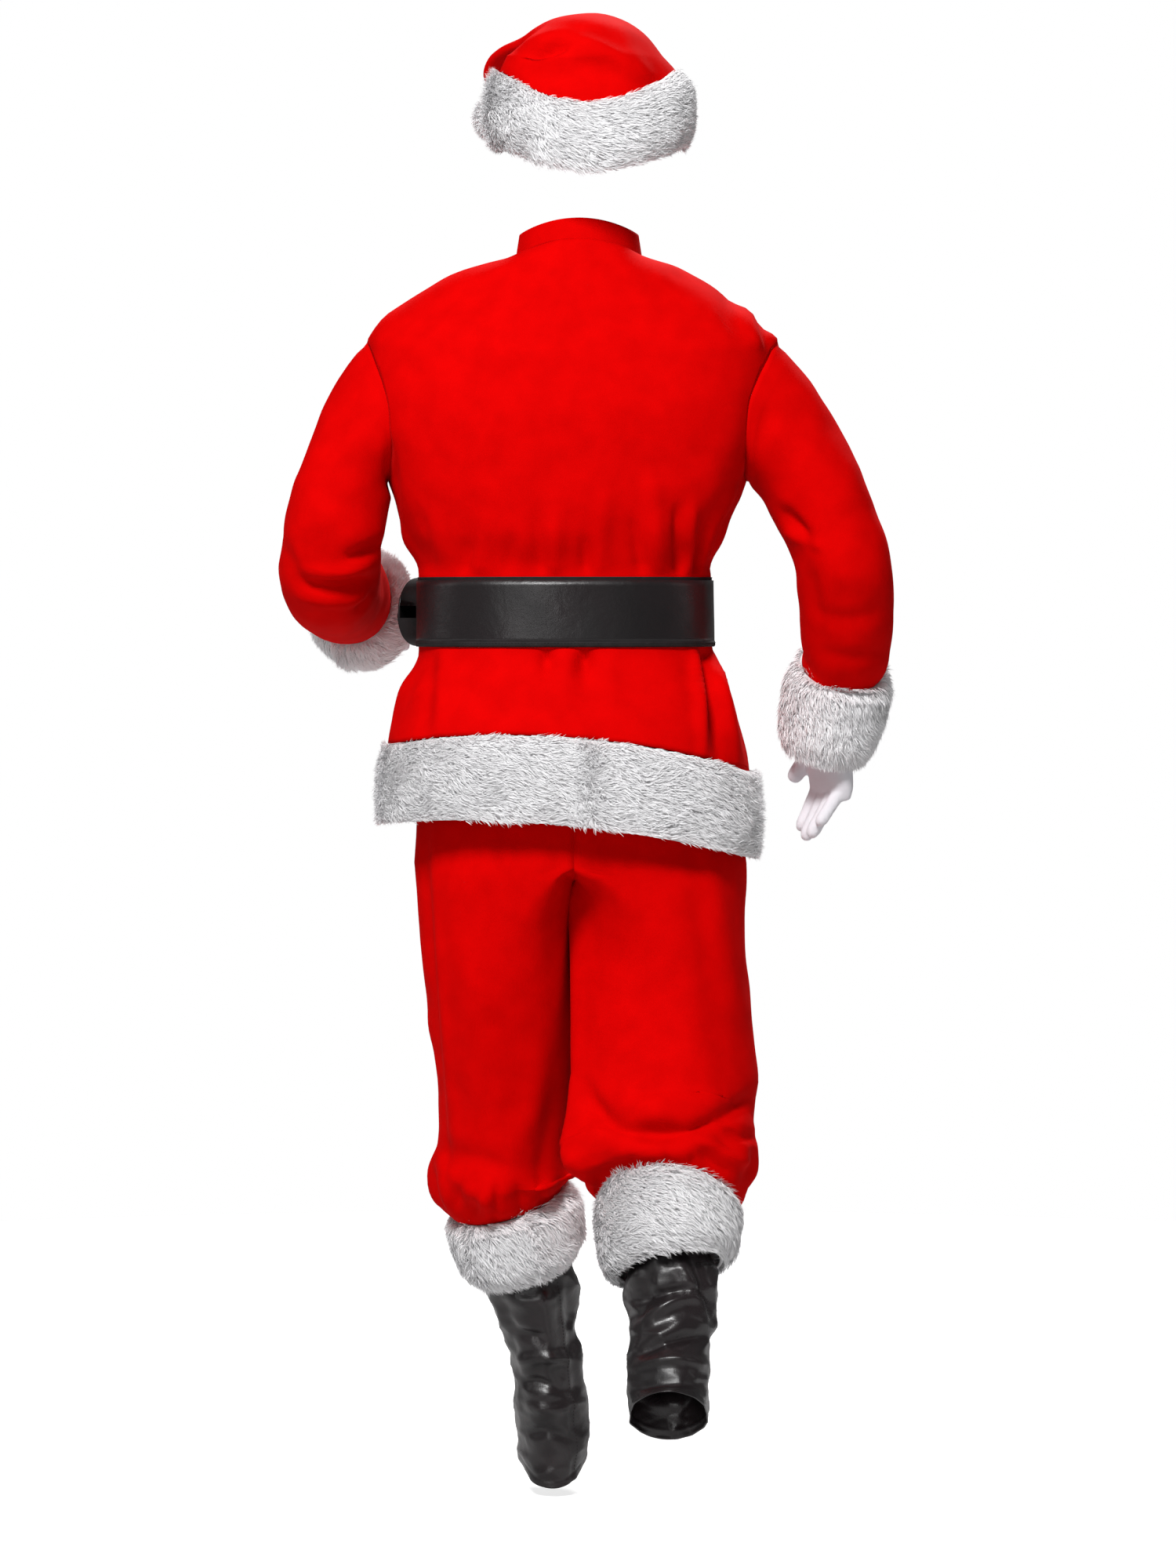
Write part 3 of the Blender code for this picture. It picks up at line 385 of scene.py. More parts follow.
def material(name, group_name, values, dark, light, bump, size, roughness, specular, more=()):
    made = bpy.data.materials.new(name)
    made.use_nodes = True
    tree = made.node_tree
    shader = tree.nodes["Principled BSDF"]
    for socket, value in {"Roughness": roughness, "Specular IOR Level": specular, **dict(more)}.items():
        shader.inputs[socket].default_value = value
    placed = tree.nodes.new("ShaderNodeGroup")
    placed.node_tree = GROUPS[group_name]
    for socket, value in values.items():
        placed.inputs[socket].default_value = value
    if "Shade" in placed.outputs:
        mix = put(tree, "ShaderNodeMix", data_type="RGBA")
        mix.inputs["A"].default_value = (*dark, 1)
        mix.inputs["B"].default_value = (*light, 1)
        tree.links.new(placed.outputs["Shade"], mix.inputs["Factor"])
        tree.links.new(mix.outputs["Result"], shader.inputs["Base Color"])
    else:
        shader.inputs["Base Color"].default_value = (*light, 1)
    if "Height" in placed.outputs:
        height = [("Height", placed.outputs["Height"])]
        relief = put(tree, "ShaderNodeBump", height, Strength=bump, Distance=size)
        tree.links.new(relief.outputs["Normal"], shader.inputs["Normal"])
    if "Gloss" in placed.outputs:
        gloss = mapped(tree, placed.outputs["Gloss"], 0.0, 1.0, roughness, roughness - SHEEN_PATCH_SMOOTH)
        tree.links.new(gloss, shader.inputs["Roughness"])
    made.diffuse_color = (*light, 1)
    return made


PLUSH_RED = material(
    "red plush", "nap", {"Grain": 1100.0, "Mottle": 36.0}, (0.52, 0.0, 0.0), (0.62, 0.0003, 0.0003),
    0.35, 0.0006, 0.85, 0.02,
    {"Sheen Weight": 0.08, "Sheen Roughness": 0.3, "Sheen Tint": (1.0, 0.02, 0.02, 1)},
)
# The fur's dark colour is the painted shade at the fibres' roots.
FUR_WHITE = material(
    "white fur", "strand", {"Root": 0.5, "Patch": 18.0}, (0.36, 0.35, 0.36), (0.95, 0.945, 0.955), 0.0, 0.001,
    0.62, 0.2, {"Sheen Weight": 0.1},
)
BACKING = material(
    "fur backing", "nap", {"Grain": 900.0, "Mottle": 40.0}, (0.62, 0.61, 0.62), (0.74, 0.73, 0.74),
    0.3, 0.001, 0.9, 0.1,
)
# The lighter of its two colours is the painted sheen in the hide's patches.
HIDE_BLACK = material(
    "black imitation leather", "hide", {"Grain": 900.0, "Crumple": 40.0}, (0.006, 0.0045, 0.005),
    (0.016, 0.012, 0.013), 0.30, 0.0016, 0.42, 0.44,
)
BINDING = material(
    "black binding tape", "nap", {"Grain": 1500.0, "Mottle": 90.0},
    (0.006, 0.005, 0.005), (0.014, 0.011, 0.012), 0.5, 0.0005, 0.72, 0.25,
)
KNIT_WHITE = material(
    "white knit", "knit", {"Stitches": 1100.0}, (0.7, 0.7, 0.7), (0.78, 0.76, 0.80), 0.35, 0.0008, 0.85, 0.2,
    {"Sheen Weight": 0.1},
)
GOLD = material(
    "gold-coloured buckle", "nap", {"Grain": 400.0, "Mottle": 60.0}, (0.70, 0.49, 0.17), (0.83, 0.62, 0.25),
    0.05, 0.0005, 0.24, 0.5, {"Metallic": 1.0},
)
print("materials:", len(bpy.data.materials))

# %% [markdown]
# The jacket is cut as a back, two fronts and two sleeves, and its body is one surface from neck to hem. The
# table gives a ring at the neck, over the shoulders, at the waist under the belt and at the hem. Round each
# armhole the rows and columns are drawn in to a circle, so that a sleeve can start on the very same points.

# %% The surface of the jacket's body
JACKET = millimetres((
    (0, 80, -74, 12, 75, 30, -78, -40, 2, 0),
    (1, 145, -118, -3, 100, -15, -105, -85, 2.1, 0),
    (2, 207, -180, -40, 118, -70, -122, -130, 2.2, 0),
    (3, 262, -236, -92, 135, -118, -135, -160, 2.3, 0),
    (7, 258, -228, -178, 152, -195, -145, -205, 2.4, 0),
    (11, 236, -203, -262, 150, -270, -148, -268, 2.4, 0),
    (12.5, 218, -180, -321, 142, -325, -152, -325, 2.3, 0),
    (14, 199.5, -159, -380, 126, -380, -150, -380, 2.2, 0),
    (16, 199.5, -160, -463, 126, -463, -152, -463, 2.2, 0),
    (17.5, 223.5, -193, -530, 150, -522, -168, -530, 2.3, 0.03),
    (19, 238, -208, -600, 170, -572, -182, -600, 2.3, 0.075),
    (20.5, 243, -212, -650, 177, -625, -187, -650, 2.3, 0.085),
    (22, 245, -208.5, -702, 177, -678, -187, -700, 2.3, 0.095),
), plain=(8, 9))
JACKET_COLUMNS = 48
HOLE_ROW = 7
HOLE_HALF = 4
LOOP_STEPS = 8 * HOLE_HALF
SIDE_COLUMN = {1: 0, -1: 24}
GATHER_DEPTH = 0.0035
GATHERS = 9


def jacket_body(row, column):
    row, column = np.broadcast_arrays(np.asarray(row, float), np.asarray(column, float))
    new_row, new_column = row, column
    for centre in SIDE_COLUMN.values():
        half = JACKET_COLUMNS / 2
        across = ((column - centre + half) % JACKET_COLUMNS - half) / HOLE_HALF
        down = (row - HOLE_ROW) / HOLE_HALF
        far = np.maximum(np.maximum(np.abs(across), np.abs(down)), 1e-9)
        edge_across, edge_down = across / far, down / far
        fade = np.clip((1.7 - np.maximum(far, 1)) / 0.7, 0, 1) ** 2 * np.minimum(far, 1)
        new_column = new_column + HOLE_HALF * fade * edge_across * (np.sqrt(1 - edge_down**2 / 2) - 1)
        new_row = new_row + HOLE_HALF * fade * edge_down * (np.sqrt(1 - edge_across**2 / 2) - 1)
    angle = 2 * np.pi * new_column / JACKET_COLUMNS
    points = worn_ring(JACKET, new_row, angle)
    above = np.sin(np.pi * np.clip((14 - row) / 2.6, 0, 1)) ** 2
    below = np.sin(np.pi * np.clip((row - 16) / 2.6, 0, 1)) ** 2
    gathers = GATHER_DEPTH * (above + below) * np.cos(GATHERS * angle + 0.8 * np.sin(2 * angle))
    outward = unit(np.stack([np.cos(angle), np.sin(angle), 0 * angle], -1))
    return points + outward * gathers[..., None]


# %% [markdown]
# A set-in sleeve starts on the armhole and turns into a tube. The left one bends forward at the elbow, and
# the right one hangs almost straight.

# %% The surface of a sleeve
SLEEVE_LEFT = millimetres((
    (4, 288, 8, -270, 58, 70),
    (5, 299, 12, -312, 60, 69),
    (6, 305, 3, -348, 62, 66),
    (7, 308, -19, -372.5, 63, 63),
    (8, 309, -50, -386, 62, 62),
    (9, 306, -110, -394, 60, 62),
    (10, 299, -165, -401, 58, 61),
    (11, 290, -215, -408, 50, 54),
))
SLEEVE_RIGHT = millimetres((
    (4, -284.5, 10, -272, 60, 70),
    (5, -304, 16, -312, 58, 68),
    (6, -317, 18, -350, 58, 67),
    (7, -323.5, 8, -388, 59, 66),
    (8, -326.5, -12, -425, 58, 64),
    (9, -326, -34, -460, 56, 62),
    (11, -321.5, -55, -488, 50, 56),
))
SLEEVE_START = 4
SLEEVE_END = 11


def armhole(step, side):
    corners = (0, 4, 12, 20, 28, 32)
    across = np.interp(step % LOOP_STEPS, corners, (0, 4, 4, -4, -4, 0))
    down = np.interp(step % LOOP_STEPS, corners, (-4, -4, 4, 4, -4, -4))
    return HOLE_ROW + down, SIDE_COLUMN[side] + across


def sleeve(row, step, side):
    table = SLEEVE_LEFT if side > 0 else SLEEVE_RIGHT
    angle = 2 * np.pi * step / LOOP_STEPS
    lateral = (side, 0.0, 0.0)
    arm = tube(table, np.maximum(row, SLEEVE_START), angle, lateral)
    start = jacket_body(*armhole(step, side))
    end = tube(table, np.full_like(row, SLEEVE_START), angle, lateral)
    first = read(table, SLEEVE_START)[:3]
    along = unit(read(table, SLEEVE_START + TIP_STEP)[:3] - first)
    reach = np.linalg.norm(end - start, axis=-1, keepdims=True)
    leave = unit((side, 0, -0.9)) * reach
    t = np.minimum(row, SLEEVE_START)[..., None] / SLEEVE_START
    cap = hermite(t, start, leave, end, along * reach)
    return np.where(row[..., None] < SLEEVE_START, cap, arm)


# %% [markdown]
# These are the folds that show: short gathers that the belt presses out of the cloth above it, two puckers
# and two pleats below it, pulls at the shoulder seams, and the creases inside the bent elbow.

# %% Folds of the jacket: start, bend, end in the picture, half width, height in millimetres
JACKET_FOLDS = (
    (690, 742, 689, 700, 682, 655, 10, -4), (708, 742, 707, 700, 712, 640, 11, 3.5),
    (748, 742, 748, 712, 745, 682, 8, -3.5), (764, 742, 764, 690, 774, 625, 13, 3.5),
    (820, 740, 816, 700, 806, 664, 9, -4), (842, 740, 840, 690, 833, 610, 12, 3.5),
    (865, 740, 866, 700, 864, 648, 7, -6), (876, 740, 878, 690, 884, 640, 8, 4.5),
    (889, 740, 890, 705, 900, 665, 7, -5.5), (905, 738, 910, 700, 930, 650, 8, -4.5),
    (590, 742, 592, 715, 600, 690, 9, -3.5), (612, 742, 614, 700, 622, 650, 12, 3),
    (648, 742, 650, 705, 655, 680, 9, -2.5), (548, 742, 545, 700, 535, 650, 10, -3),
    (698, 822, 698, 836, 696, 856, 9, -6), (748, 822, 747, 838, 744, 862, 10, -7),
    (722, 822, 722, 850, 720, 885, 14, 3.5), (772, 822, 776, 860, 780, 900, 16, 2.5),
    (640, 822, 640, 850, 634, 890, 16, 2), (566, 826, 563, 880, 560, 940, 9, 2.5),
    (552, 826, 547, 880, 540, 940, 9, -2.5), (883, 818, 892, 880, 897, 960, 7, 6.5),
    (895, 820, 908, 880, 918, 965, 8, -7), (903, 818, 922, 870, 942, 965, 8, 5),
    (918, 822, 940, 870, 956, 960, 8, -5), (925, 375, 930, 400, 940, 430, 9, -3),
    (948, 385, 956, 412, 968, 440, 8, 3), (966, 395, 975, 420, 985, 450, 7, -3.5),
    (984, 412, 990, 430, 995, 462, 7, 3), (512, 372, 498, 395, 486, 425, 12, 2),
    (945, 620, 925, 655, 905, 720, 11, 3.5), (958, 600, 935, 640, 925, 690, 8, -4),
    (935, 520, 925, 600, 905, 660, 22, 2.5), (505, 610, 515, 655, 522, 720, 11, 3),
    (496, 560, 505, 620, 512, 680, 8, -3.5), (520, 520, 535, 600, 545, 660, 22, 2),
    (600, 420, 740, 470, 880, 420, 60, 2.5), (620, 560, 740, 620, 860, 560, 70, -2),
    (380, 742, 430, 756, 476, 738, 8, -7), (390, 728, 432, 738, 474, 720, 9, 4.5),
    (385, 760, 430, 774, 478, 758, 9, 4), (440, 712, 466, 705, 488, 694, 8, -5.5),
    (452, 778, 470, 768, 486, 745, 7, -4), (362, 690, 366, 720, 384, 745, 10, -3),
    (395, 640, 440, 690, 470, 700, 18, 2.5), (392, 600, 400, 640, 380, 690, 22, 2.5),
    (996, 650, 1018, 672, 1036, 700, 9, -6), (1000, 676, 1024, 690, 1050, 700, 8, 3.5),
    (1022, 700, 1040, 760, 1046, 820, 11, -2.5), (1040, 780, 1080, 800, 1120, 780, 12, -2.5),
    (1045, 830, 1085, 846, 1130, 832, 10, -2), (1052, 720, 1090, 745, 1128, 740, 20, 2),
    (1010, 560, 1060, 600, 1100, 640, 26, 2), (985, 470, 970, 540, 960, 600, 12, -2),
)

# %% Cut and fold the jacket
PLUSH = 0.002
FINE = 1 / 6
SEAM_DEPTH = 0.0013
HOLE_ROWS = np.arange(3, 11.01, FINE)
BODY_ROWS = np.concatenate([np.arange(0, 3, 0.125), HOLE_ROWS, np.linspace(11, 19, 51)[1:]])
BODY_COLUMNS = np.arange(0, JACKET_COLUMNS, FINE)

body = grid(jacket_body, BODY_ROWS, BODY_COLUMNS)
body_normals = grid_normals(body)
folded = worked(body, body_normals, ((0.09, 0.0035, 0.0), (0.032, 0.0012, 4.0)), JACKET_FOLDS)
# Under the belt nothing stands out.
body = body + (folded - body) * smooth((np.abs(BODY_ROWS - 15) - 1.02) / 0.25)[:, None, None]
# A seam pulls the cloth in along the sides and the centre front.
for seam in (0, 24, 36):
    off = np.abs((BODY_COLUMNS - seam + 24) % 48 - 24)
    body -= body_normals * (SEAM_DEPTH * np.exp(-((off / 0.3) ** 2)))[None, :, None]

first_hole_row = int(np.flatnonzero(np.isclose(BODY_ROWS, 3))[0])
cells_across = round(2 * HOLE_HALF / FINE)
row_cell = np.arange(len(BODY_ROWS) - 1)
in_hole_rows = (row_cell >= first_hole_row) & (row_cell < first_hole_row + cells_across)


def column_number(column):
    return np.round(np.asarray(column) / FINE).astype(int) % len(BODY_COLUMNS)


def body_panel(node, first, last, step=1):
    columns = np.arange(round(first / FINE), round(last / FINE) + 1, step)
    middle = (columns[:-1] + 0.5 * step) * FINE
    near_side = np.abs((middle + 12) % 24 - 12) < HOLE_HALF
    skip = in_hole_rows[:, None] & near_side[None, :]
    panel = grid_mesh(f"{node}_cloth", body[:, columns % len(BODY_COLUMNS)], skip=skip)
    return cloth(panel, PLUSH, PLUSH_RED, node)


back = body_panel("jacket_back", 0, 24)
front_right = body_panel("jacket_front_right", 24, 36, 2)
front_left = body_panel("jacket_front_left", 36, 48, 2)

# %% Set in the sleeves
SLEEVE_ROWS = np.concatenate([np.arange(0, 4, 0.2), np.arange(4, SLEEVE_END + 0.01, 0.1)])
LOOP = np.arange(0, LOOP_STEPS, 2 * FINE)


def sleeve_points(side):
    points = grid(lambda row, step: sleeve(row, step, side), SLEEVE_ROWS, LOOP)
    normals = grid_normals(points)
    folded = worked(points, normals, ((0.08, 0.004, 2.0 * side), (0.03, 0.0014, 5.0 * side)), JACKET_FOLDS)
    start = smooth(SLEEVE_ROWS)[:, None, None]
    end = smooth((SLEEVE_END - SLEEVE_ROWS) / 0.8)[:, None, None]
    made = points + (folded - points) * start * end
    rows, columns = armhole(LOOP, side)
    row_index = first_hole_row + np.round((rows - 3) / FINE).astype(int)
    made[0] = body[row_index, column_number(columns)]
    made[1] = made[1] * 0.8 + made[0] * 0.2 - normals[1] * SEAM_DEPTH
    return made


for word, side, area in (("left", 1, 0.18), ("right", -1, 0.17)):
    piece = grid_mesh(f"jacket_sleeve_{word}_cloth", sleeve_points(side), closed=True)
    cloth(piece, PLUSH, PLUSH_RED, f"jacket_sleeve_{word}")

# %% [markdown]
# The neck is hidden, and red cloth shows right up to it, so it has a low stand collar of the same plush.

# %% Stand the collar up
COLLAR = millimetres((
    (0, 76, -70, 38, 70, 55, -72, -16, 2, 0),
    (1, 80, -74, 12, 75, 30, -78, -40, 2, 0),
    (1.2, 80.8, -74.8, 6.8, 76, 25, -79.2, -44.8, 2, 0),
), plain=(8, 9))


def body_ring(table, columns=JACKET_COLUMNS):
    return lambda row, column: worn_ring(table, row, 2 * np.pi * column / columns)


# The last rows are the seam allowance, which hangs inside the neck.
collar_points = grid(body_ring(COLLAR), np.linspace(0, 1.2, 11), np.arange(36, 84.1, 0.5))
collar_piece = grid_mesh("jacket_collar_cloth", collar_points)
cloth(collar_piece, PLUSH, PLUSH_RED, "jacket_collar")

# %% [markdown]
# Long-pile fur is a woven backing with fibres of 12 to 18 mm that all lean the same way, so they lie almost
# flat and show as fine streaks. Fibres stick together in small locks, and lean apart at a seam. Each fibre
# here is a blade of two triangles that bends once. The roots are spread evenly over the band, by area.

# %% Grow fur on a surface
LOCKS = 0.028
BLADE = 0.0010


def spread_roots(points, count, rng):
    wide = np.concatenate([points, points[:, :1]], 1)
    a, b, c, d = wide[:-1, :-1], wide[1:, :-1], wide[1:, 1:], wide[:-1, 1:]
    area = np.linalg.norm(np.cross(c - a, d - b), axis=2) / 2
    cell = rng.choice(area.size, size=count, p=area.reshape(-1) / area.sum())
    i, j = np.unravel_index(cell, area.shape)
    s, t = rng.random((2, count))
    a, b, c, d = (corner[i, j] for corner in (a, b, c, d))
    s_, t_ = s[:, None], t[:, None]
    root = a * (1 - s_) * (1 - t_) + b * s_ * (1 - t_) + c * s_ * t_ + d * (1 - s_) * t_
    return root, unit(d - a), unit(b - a), (i + s) / area.shape[0], (j + t) / area.shape[1], area.sum()


def lock_pull(root, tip, rng, share):
    """Tips drawn together to the middle of their lock."""
    count = int(len(root) * LOCKS)
    chosen = rng.choice(len(root), size=count, replace=False)
    tree = KDTree(count)
    for i, number in enumerate(chosen):
        tree.insert(root[number], i)
    tree.balance()
    nearest = np.array([tree.find(p)[1] for p in root])
    lean = tip - root
    middle = root[chosen][nearest] + lean
    pull = share * rng.random(len(root))[:, None]
    return tip + (middle - tip) * pull


def fur(name, points, count, lay, seed, reach=0.016, parting=(), lift=0.30, mess=0.22, share=0.70):
    """Blades on a grid of points. `lay` is the lean's angle from the rows: 0 is sideways, 90 is down."""
    rng = np.random.default_rng(seed)
    root, across, down, row_share, column_share, area = spread_roots(points, count, rng)
    out = unit(np.cross(down, across))
    down = unit(down - across * np.sum(down * across, -1, keepdims=True))
    swirl = np.array([noise.noise(Vector(p) * 22) for p in root])
    angle = np.radians(lay) + swirl * 0.9 + rng.normal(0, mess, count)
    lifted = lift + 0.22 * np.array([noise.noise(Vector(p) * 40 + Vector((9, 0, 0))) for p in root])
    lifted = lifted + rng.normal(0, 0.10, count)
    for place, half_width in parting:
        off = (column_share - place + 0.5) % 1 - 0.5
        near = np.exp(-((off / half_width) ** 2))
        lifted += 0.75 * near
        angle += near * rng.normal(0, 1.0, count)
    edge = np.minimum(row_share, 1 - row_share)
    lifted = lifted + 0.25 * np.exp(-((edge / 0.04) ** 2))
    lifted = np.clip(lifted, 0.08, 1.4)
    length = reach * rng.uniform(0.6, 1.15, count) * np.clip(0.75 + edge * 5, 0.75, 1)
    flat = across * np.cos(angle)[:, None] + down * np.sin(angle)[:, None]
    first, second = (unit(flat * np.cos(rise)[:, None] + out * np.sin(rise)[:, None])
                     for rise in (lifted + 0.35, lifted - 0.25))
    middle = root + first * (length * 0.45)[:, None]
    tip = middle + second * (length * 0.55)[:, None]
    tip = lock_pull(root, tip, rng, share)
    middle = lock_pull(root, middle, rng, share * 0.4)
    roll = rng.normal(0, 0.5, count)[:, None]
    broad = unit(np.cross(out, first)) * np.cos(roll) + out * np.sin(roll)
    half = BLADE / 2 * rng.uniform(0.7, 1.3, count)[:, None]
    vertices = np.stack([root, middle + broad * half, middle - broad * half, tip], 1)
    start = (np.arange(count) * 4)[:, None]
    triangles = np.concatenate([start + (0, 1, 2), start + (2, 1, 3)], 1).reshape(-1, 3)
    v = np.array([0.0, 0.5, 0.5, 1.0])[triangles % 4]
    uv = np.stack([np.full(v.shape, 0.5), v], -1)
    mesh = bpy.data.meshes.new(name)
    mesh.vertices.add(count * 4)
    mesh.vertices.foreach_set("co", vertices.reshape(-1).astype(np.float32))
    mesh.loops.add(len(triangles) * 3)
    mesh.loops.foreach_set("vertex_index", triangles.reshape(-1).astype(np.int32))
    mesh.polygons.add(len(triangles))
    mesh.polygons.foreach_set("loop_start", np.arange(0, len(triangles) * 3, 3, dtype=np.int32))
    mesh.uv_layers.new(name="strand").data.foreach_set("uv", uv.reshape(-1).astype(np.float32))
    mesh.shade_smooth()
    mesh.update()
    mesh.validate()
    print(name, "has", count, "fibres on", round(area * 1e4), "square centimetres")
    return cloth(add(name, mesh), 0, FUR_WHITE)


# %% [markdown]
# A fur band is a ring of backing cloth with the fibres on it. The pile stands about 10 mm off the backing in
# the middle and thins to nothing where the band is sewn, so the backing itself is a little crowned.

# %% Make a band: its backing and its fur
BACKING_OUT = 0.0025
BACKING_THICK = 0.0035
CUFF_COLUMNS = 20
CUFF_GAP = 0.0006


def band(name, points, count, lay, flat, seed, parting, **pile_values):
    rows = np.linspace(0, 1, len(points))
    crown = BACKING_OUT * np.sin(np.pi * rows)[:, None, None] ** 0.5
    raised = points + grid_normals(points) * crown
    backing = grid_mesh(f"{name}_backing", raised, closed=True)
    cloth(backing, BACKING_THICK, BACKING, name)
    pile = fur(f"{name}_pile", raised, count, lay, seed, parting=parting, **pile_values)


def tube_band(before, last, cuff, side):
    """A cuff's surface, which starts just past the end of the tube that it is sewn to."""
    lateral = (side, 0.0, 0.0)
    along = unit((read(before, last) - read(before, last - TIP_STEP))[:3])

    def surface(row, column):
        angle = 2 * np.pi * column / CUFF_COLUMNS
        start = tube(before, np.full_like(row, last), angle, lateral) + along * CUFF_GAP
        share = smooth(row)[..., None]
        return start * (1 - share) + tube(cuff, row, angle, lateral) * share

    return surface


def cuffs(place, last, count, flat, parting, lift, pairs):
    for word, side, before, cuff, lay, seed in pairs:
        surface = tube_band(before, last, cuff, side)
        points = grid(surface, np.linspace(0, 4, 15), np.arange(0, CUFF_COLUMNS, 0.4))
        band(f"fur_{place}_{word}", points, count, lay, flat, seed, parting, lift=lift)

# %% [markdown]
# The hem band is cut in two lengths. Where they meet, near the middle of the back, and at the sides, the pile
# parts and stands up in a ragged line of tufts.

# %% Fur on the hem and both sleeves
CUFF_LEFT = millimetres((
    (0, 290, -216, -408.2, 51, 55),
    (1, 286, -236, -411, 58, 68),
    (3, 277, -280, -417, 59, 71),
    (4, 272, -304, -420, 51, 62),
))
CUFF_RIGHT = millimetres((
    (0, -321.3, -55.5, -489, 51, 57),
    (1, -317, -63, -514, 59, 64),
    (3, -307, -78, -566, 56, 62),
    (4, -302, -86, -594, 47, 53),
))
hem_points = grid(body_ring(JACKET), np.linspace(19.04, 22, 15), np.arange(0, JACKET_COLUMNS, 0.4))
hem_points = worked(hem_points, grid_normals(hem_points), ((0.07, 0.003, 3.0),))
band("fur_hem", hem_points, 62000, 8, (1.22, 0.10), 11,
     ((0.262, 0.010), (0.475, 0.016), (0.03, 0.012), (0.75, 0.01)), reach=0.015)
cuffs("cuff", SLEEVE_END, 25000, (0.40, 0.115), ((0.20, 0.02),), 0.42,
      (("left", 1, SLEEVE_LEFT, CUFF_LEFT, 70, 12), ("right", -1, SLEEVE_RIGHT, CUFF_RIGHT, 62, 13)))

# %% [markdown]
# The belt is one strap of thin imitation leather on a stiff core, with a bound edge: a narrow tape is folded
# round each edge and sewn down. It goes once round the waist, on over itself, and its rounded free end
# stands off at the wearer's left. It follows the cinched rings of the jacket, which the cloth doesn't leave.

# %% Wind the belt round the waist
LEATHER = 0.0024
BELT_START, BELT_LAST = 36, 94.6
ROUND_LENGTH, BLUNT = 1.9, 0.03
LAP_RISE, END_RISE = 0.0040, 0.024
belt_columns = np.arange(BELT_START, BELT_LAST + 0.01, 0.2)
end_share = np.clip((belt_columns - (BELT_LAST - ROUND_LENGTH)) / ROUND_LENGTH, 0, 1)
end_round = np.sqrt(np.maximum(1 - end_share**2, BLUNT))
stand_off = 0.0004 + LAP_RISE * smooth((belt_columns - 79) / 5) + END_RISE * smooth((belt_columns - 89) / 6.5)


def cinched(row, column):
    angle, share = 2 * np.pi * column / JACKET_COLUMNS, (row[..., None] - 14) / 2
    top, bottom = np.full_like(row, 14), np.full_like(row, 16)
    return worn_ring(JACKET, top, angle) * (1 - share) + worn_ring(JACKET, bottom, angle) * share


def strap_points(rows, out, last=1.0):
    """Rows of the strap from 14 at its top edge to 16, and how far each stands out of its inner side."""
    points = grid(cinched, rows, belt_columns)
    normals = grid_normals(points, closed=False)
    middle = grid(cinched, np.full(len(rows), 15.0), belt_columns)
    width = np.repeat(end_round[None, :], len(rows), 0)
    width[:, -1] *= last
    points = middle + (points - middle) * width[..., None]
    lift = stand_off[None, :] + np.asarray(out)[:, None]
    return points + normals * lift[..., None], normals


strap_rows = np.linspace(14.07, 15.93, 11)
strap, strap_normals = strap_points(strap_rows, np.full(11, LEATHER))
wave = worked(strap, strap_normals, ((0.05, 0.0006, 6.0),))
belt = grid_mesh("belt_strap_hide", wave)
cloth(belt, LEATHER - 0.0004, HIDE_BLACK, "belt_strap")

# %% Fold the binding tape round both edges, and sew it
THREAD = 0.0004
SPINDLE = ((-0.5, 0.3, -0.6), (-0.25, 1.0, 0.3), (0.25, 1.0, 0.3), (0.5, 0.3, -0.6))


def tape(name, edge, inwards):
    rows = edge + inwards * np.array((0.15, 0.148, 0.10, 0.05, 0.01, -0.02, -0.02, 0.01, 0.06, 0.12))
    out = LEATHER + MILLIMETRE * np.array((-0.2, 0.6, 1.1, 1.1, 0.8, -0.2, -1.6, -2.2, -2.2, -2.2))
    # At the free end both tapes widen until they meet in the middle.
    points, normals = strap_points(rows, out, np.array((0, 0, 0.8, 1, 1, 1, 1, 0.8, 0, 0)))
    cloth(grid_mesh(name, points, flip=inwards < 0), 0, BINDING)
    return points[2], normals[2]


def stitches(name, line, normals, step, length):
    """Short threads that lie on a line, each a little four-sided spindle."""
    run = np.concatenate([[0], np.cumsum(np.linalg.norm(np.diff(line, axis=0), axis=1))])
    places = np.arange(step, run[-1] - step, step)
    centre, ahead, out = (
        np.stack([np.interp(at, run, values[:, k]) for k in range(3)], -1)
        for at, values in ((places, line), (places + 0.0005, line), (places, normals))
    )
    along, out = unit(ahead - centre), unit(out)
    side = np.cross(along, out)
    vertices = []
    for reach, wide, sunk in SPINDLE:
        for turn in np.linspace(0, 2 * np.pi, 4, endpoint=False):
            across = side * math.cos(turn) + out * math.sin(turn)
            middle = centre + along * (reach * length) + out * (sunk * THREAD)
            vertices.append(middle + across * (wide * THREAD))
    faces = [(4 * i + j, 4 * i + (j + 1) % 4, 4 * i + 4 + (j + 1) % 4, 4 * i + 4 + j)
             for i in range(3) for j in range(4)]
    every = (np.array(faces)[None] + (np.arange(len(places)) * 16)[:, None, None]).reshape(-1, 4)
    mesh = bpy.data.meshes.new(name)
    mesh.from_pydata(np.stack(vertices, 1).reshape(-1, 3).tolist(), [], every.tolist())
    mesh.shade_smooth()
    cloth(add(name, mesh), 0, BINDING)


for word, edge, inwards in (("top", 14.0, 1), ("bottom", 16.0, -1)):
    line, line_normals = tape(f"belt_binding_{word}", edge, inwards)
    stitches(f"belt_stitches_{word}", line, line_normals, 0.004, 0.0027)

# %% [markdown]
# The buckle is hidden in front, so it stays the plain rectangular one that such a belt has: a bent rod with a
# prong. A curve with a round bevel makes a rod in a few points.

# %% Bend the buckle's rod and lay its prong
BUCKLE_OUT = 0.0100
BUCKLE_WIDE, BUCKLE_HIGH, CORNER_POWER = 0.048, 0.052, 0.3
PRONG_REACH = 0.0445
buckle_middle = worn_ring(JACKET, np.array(15.0), np.array(1.5 * np.pi))


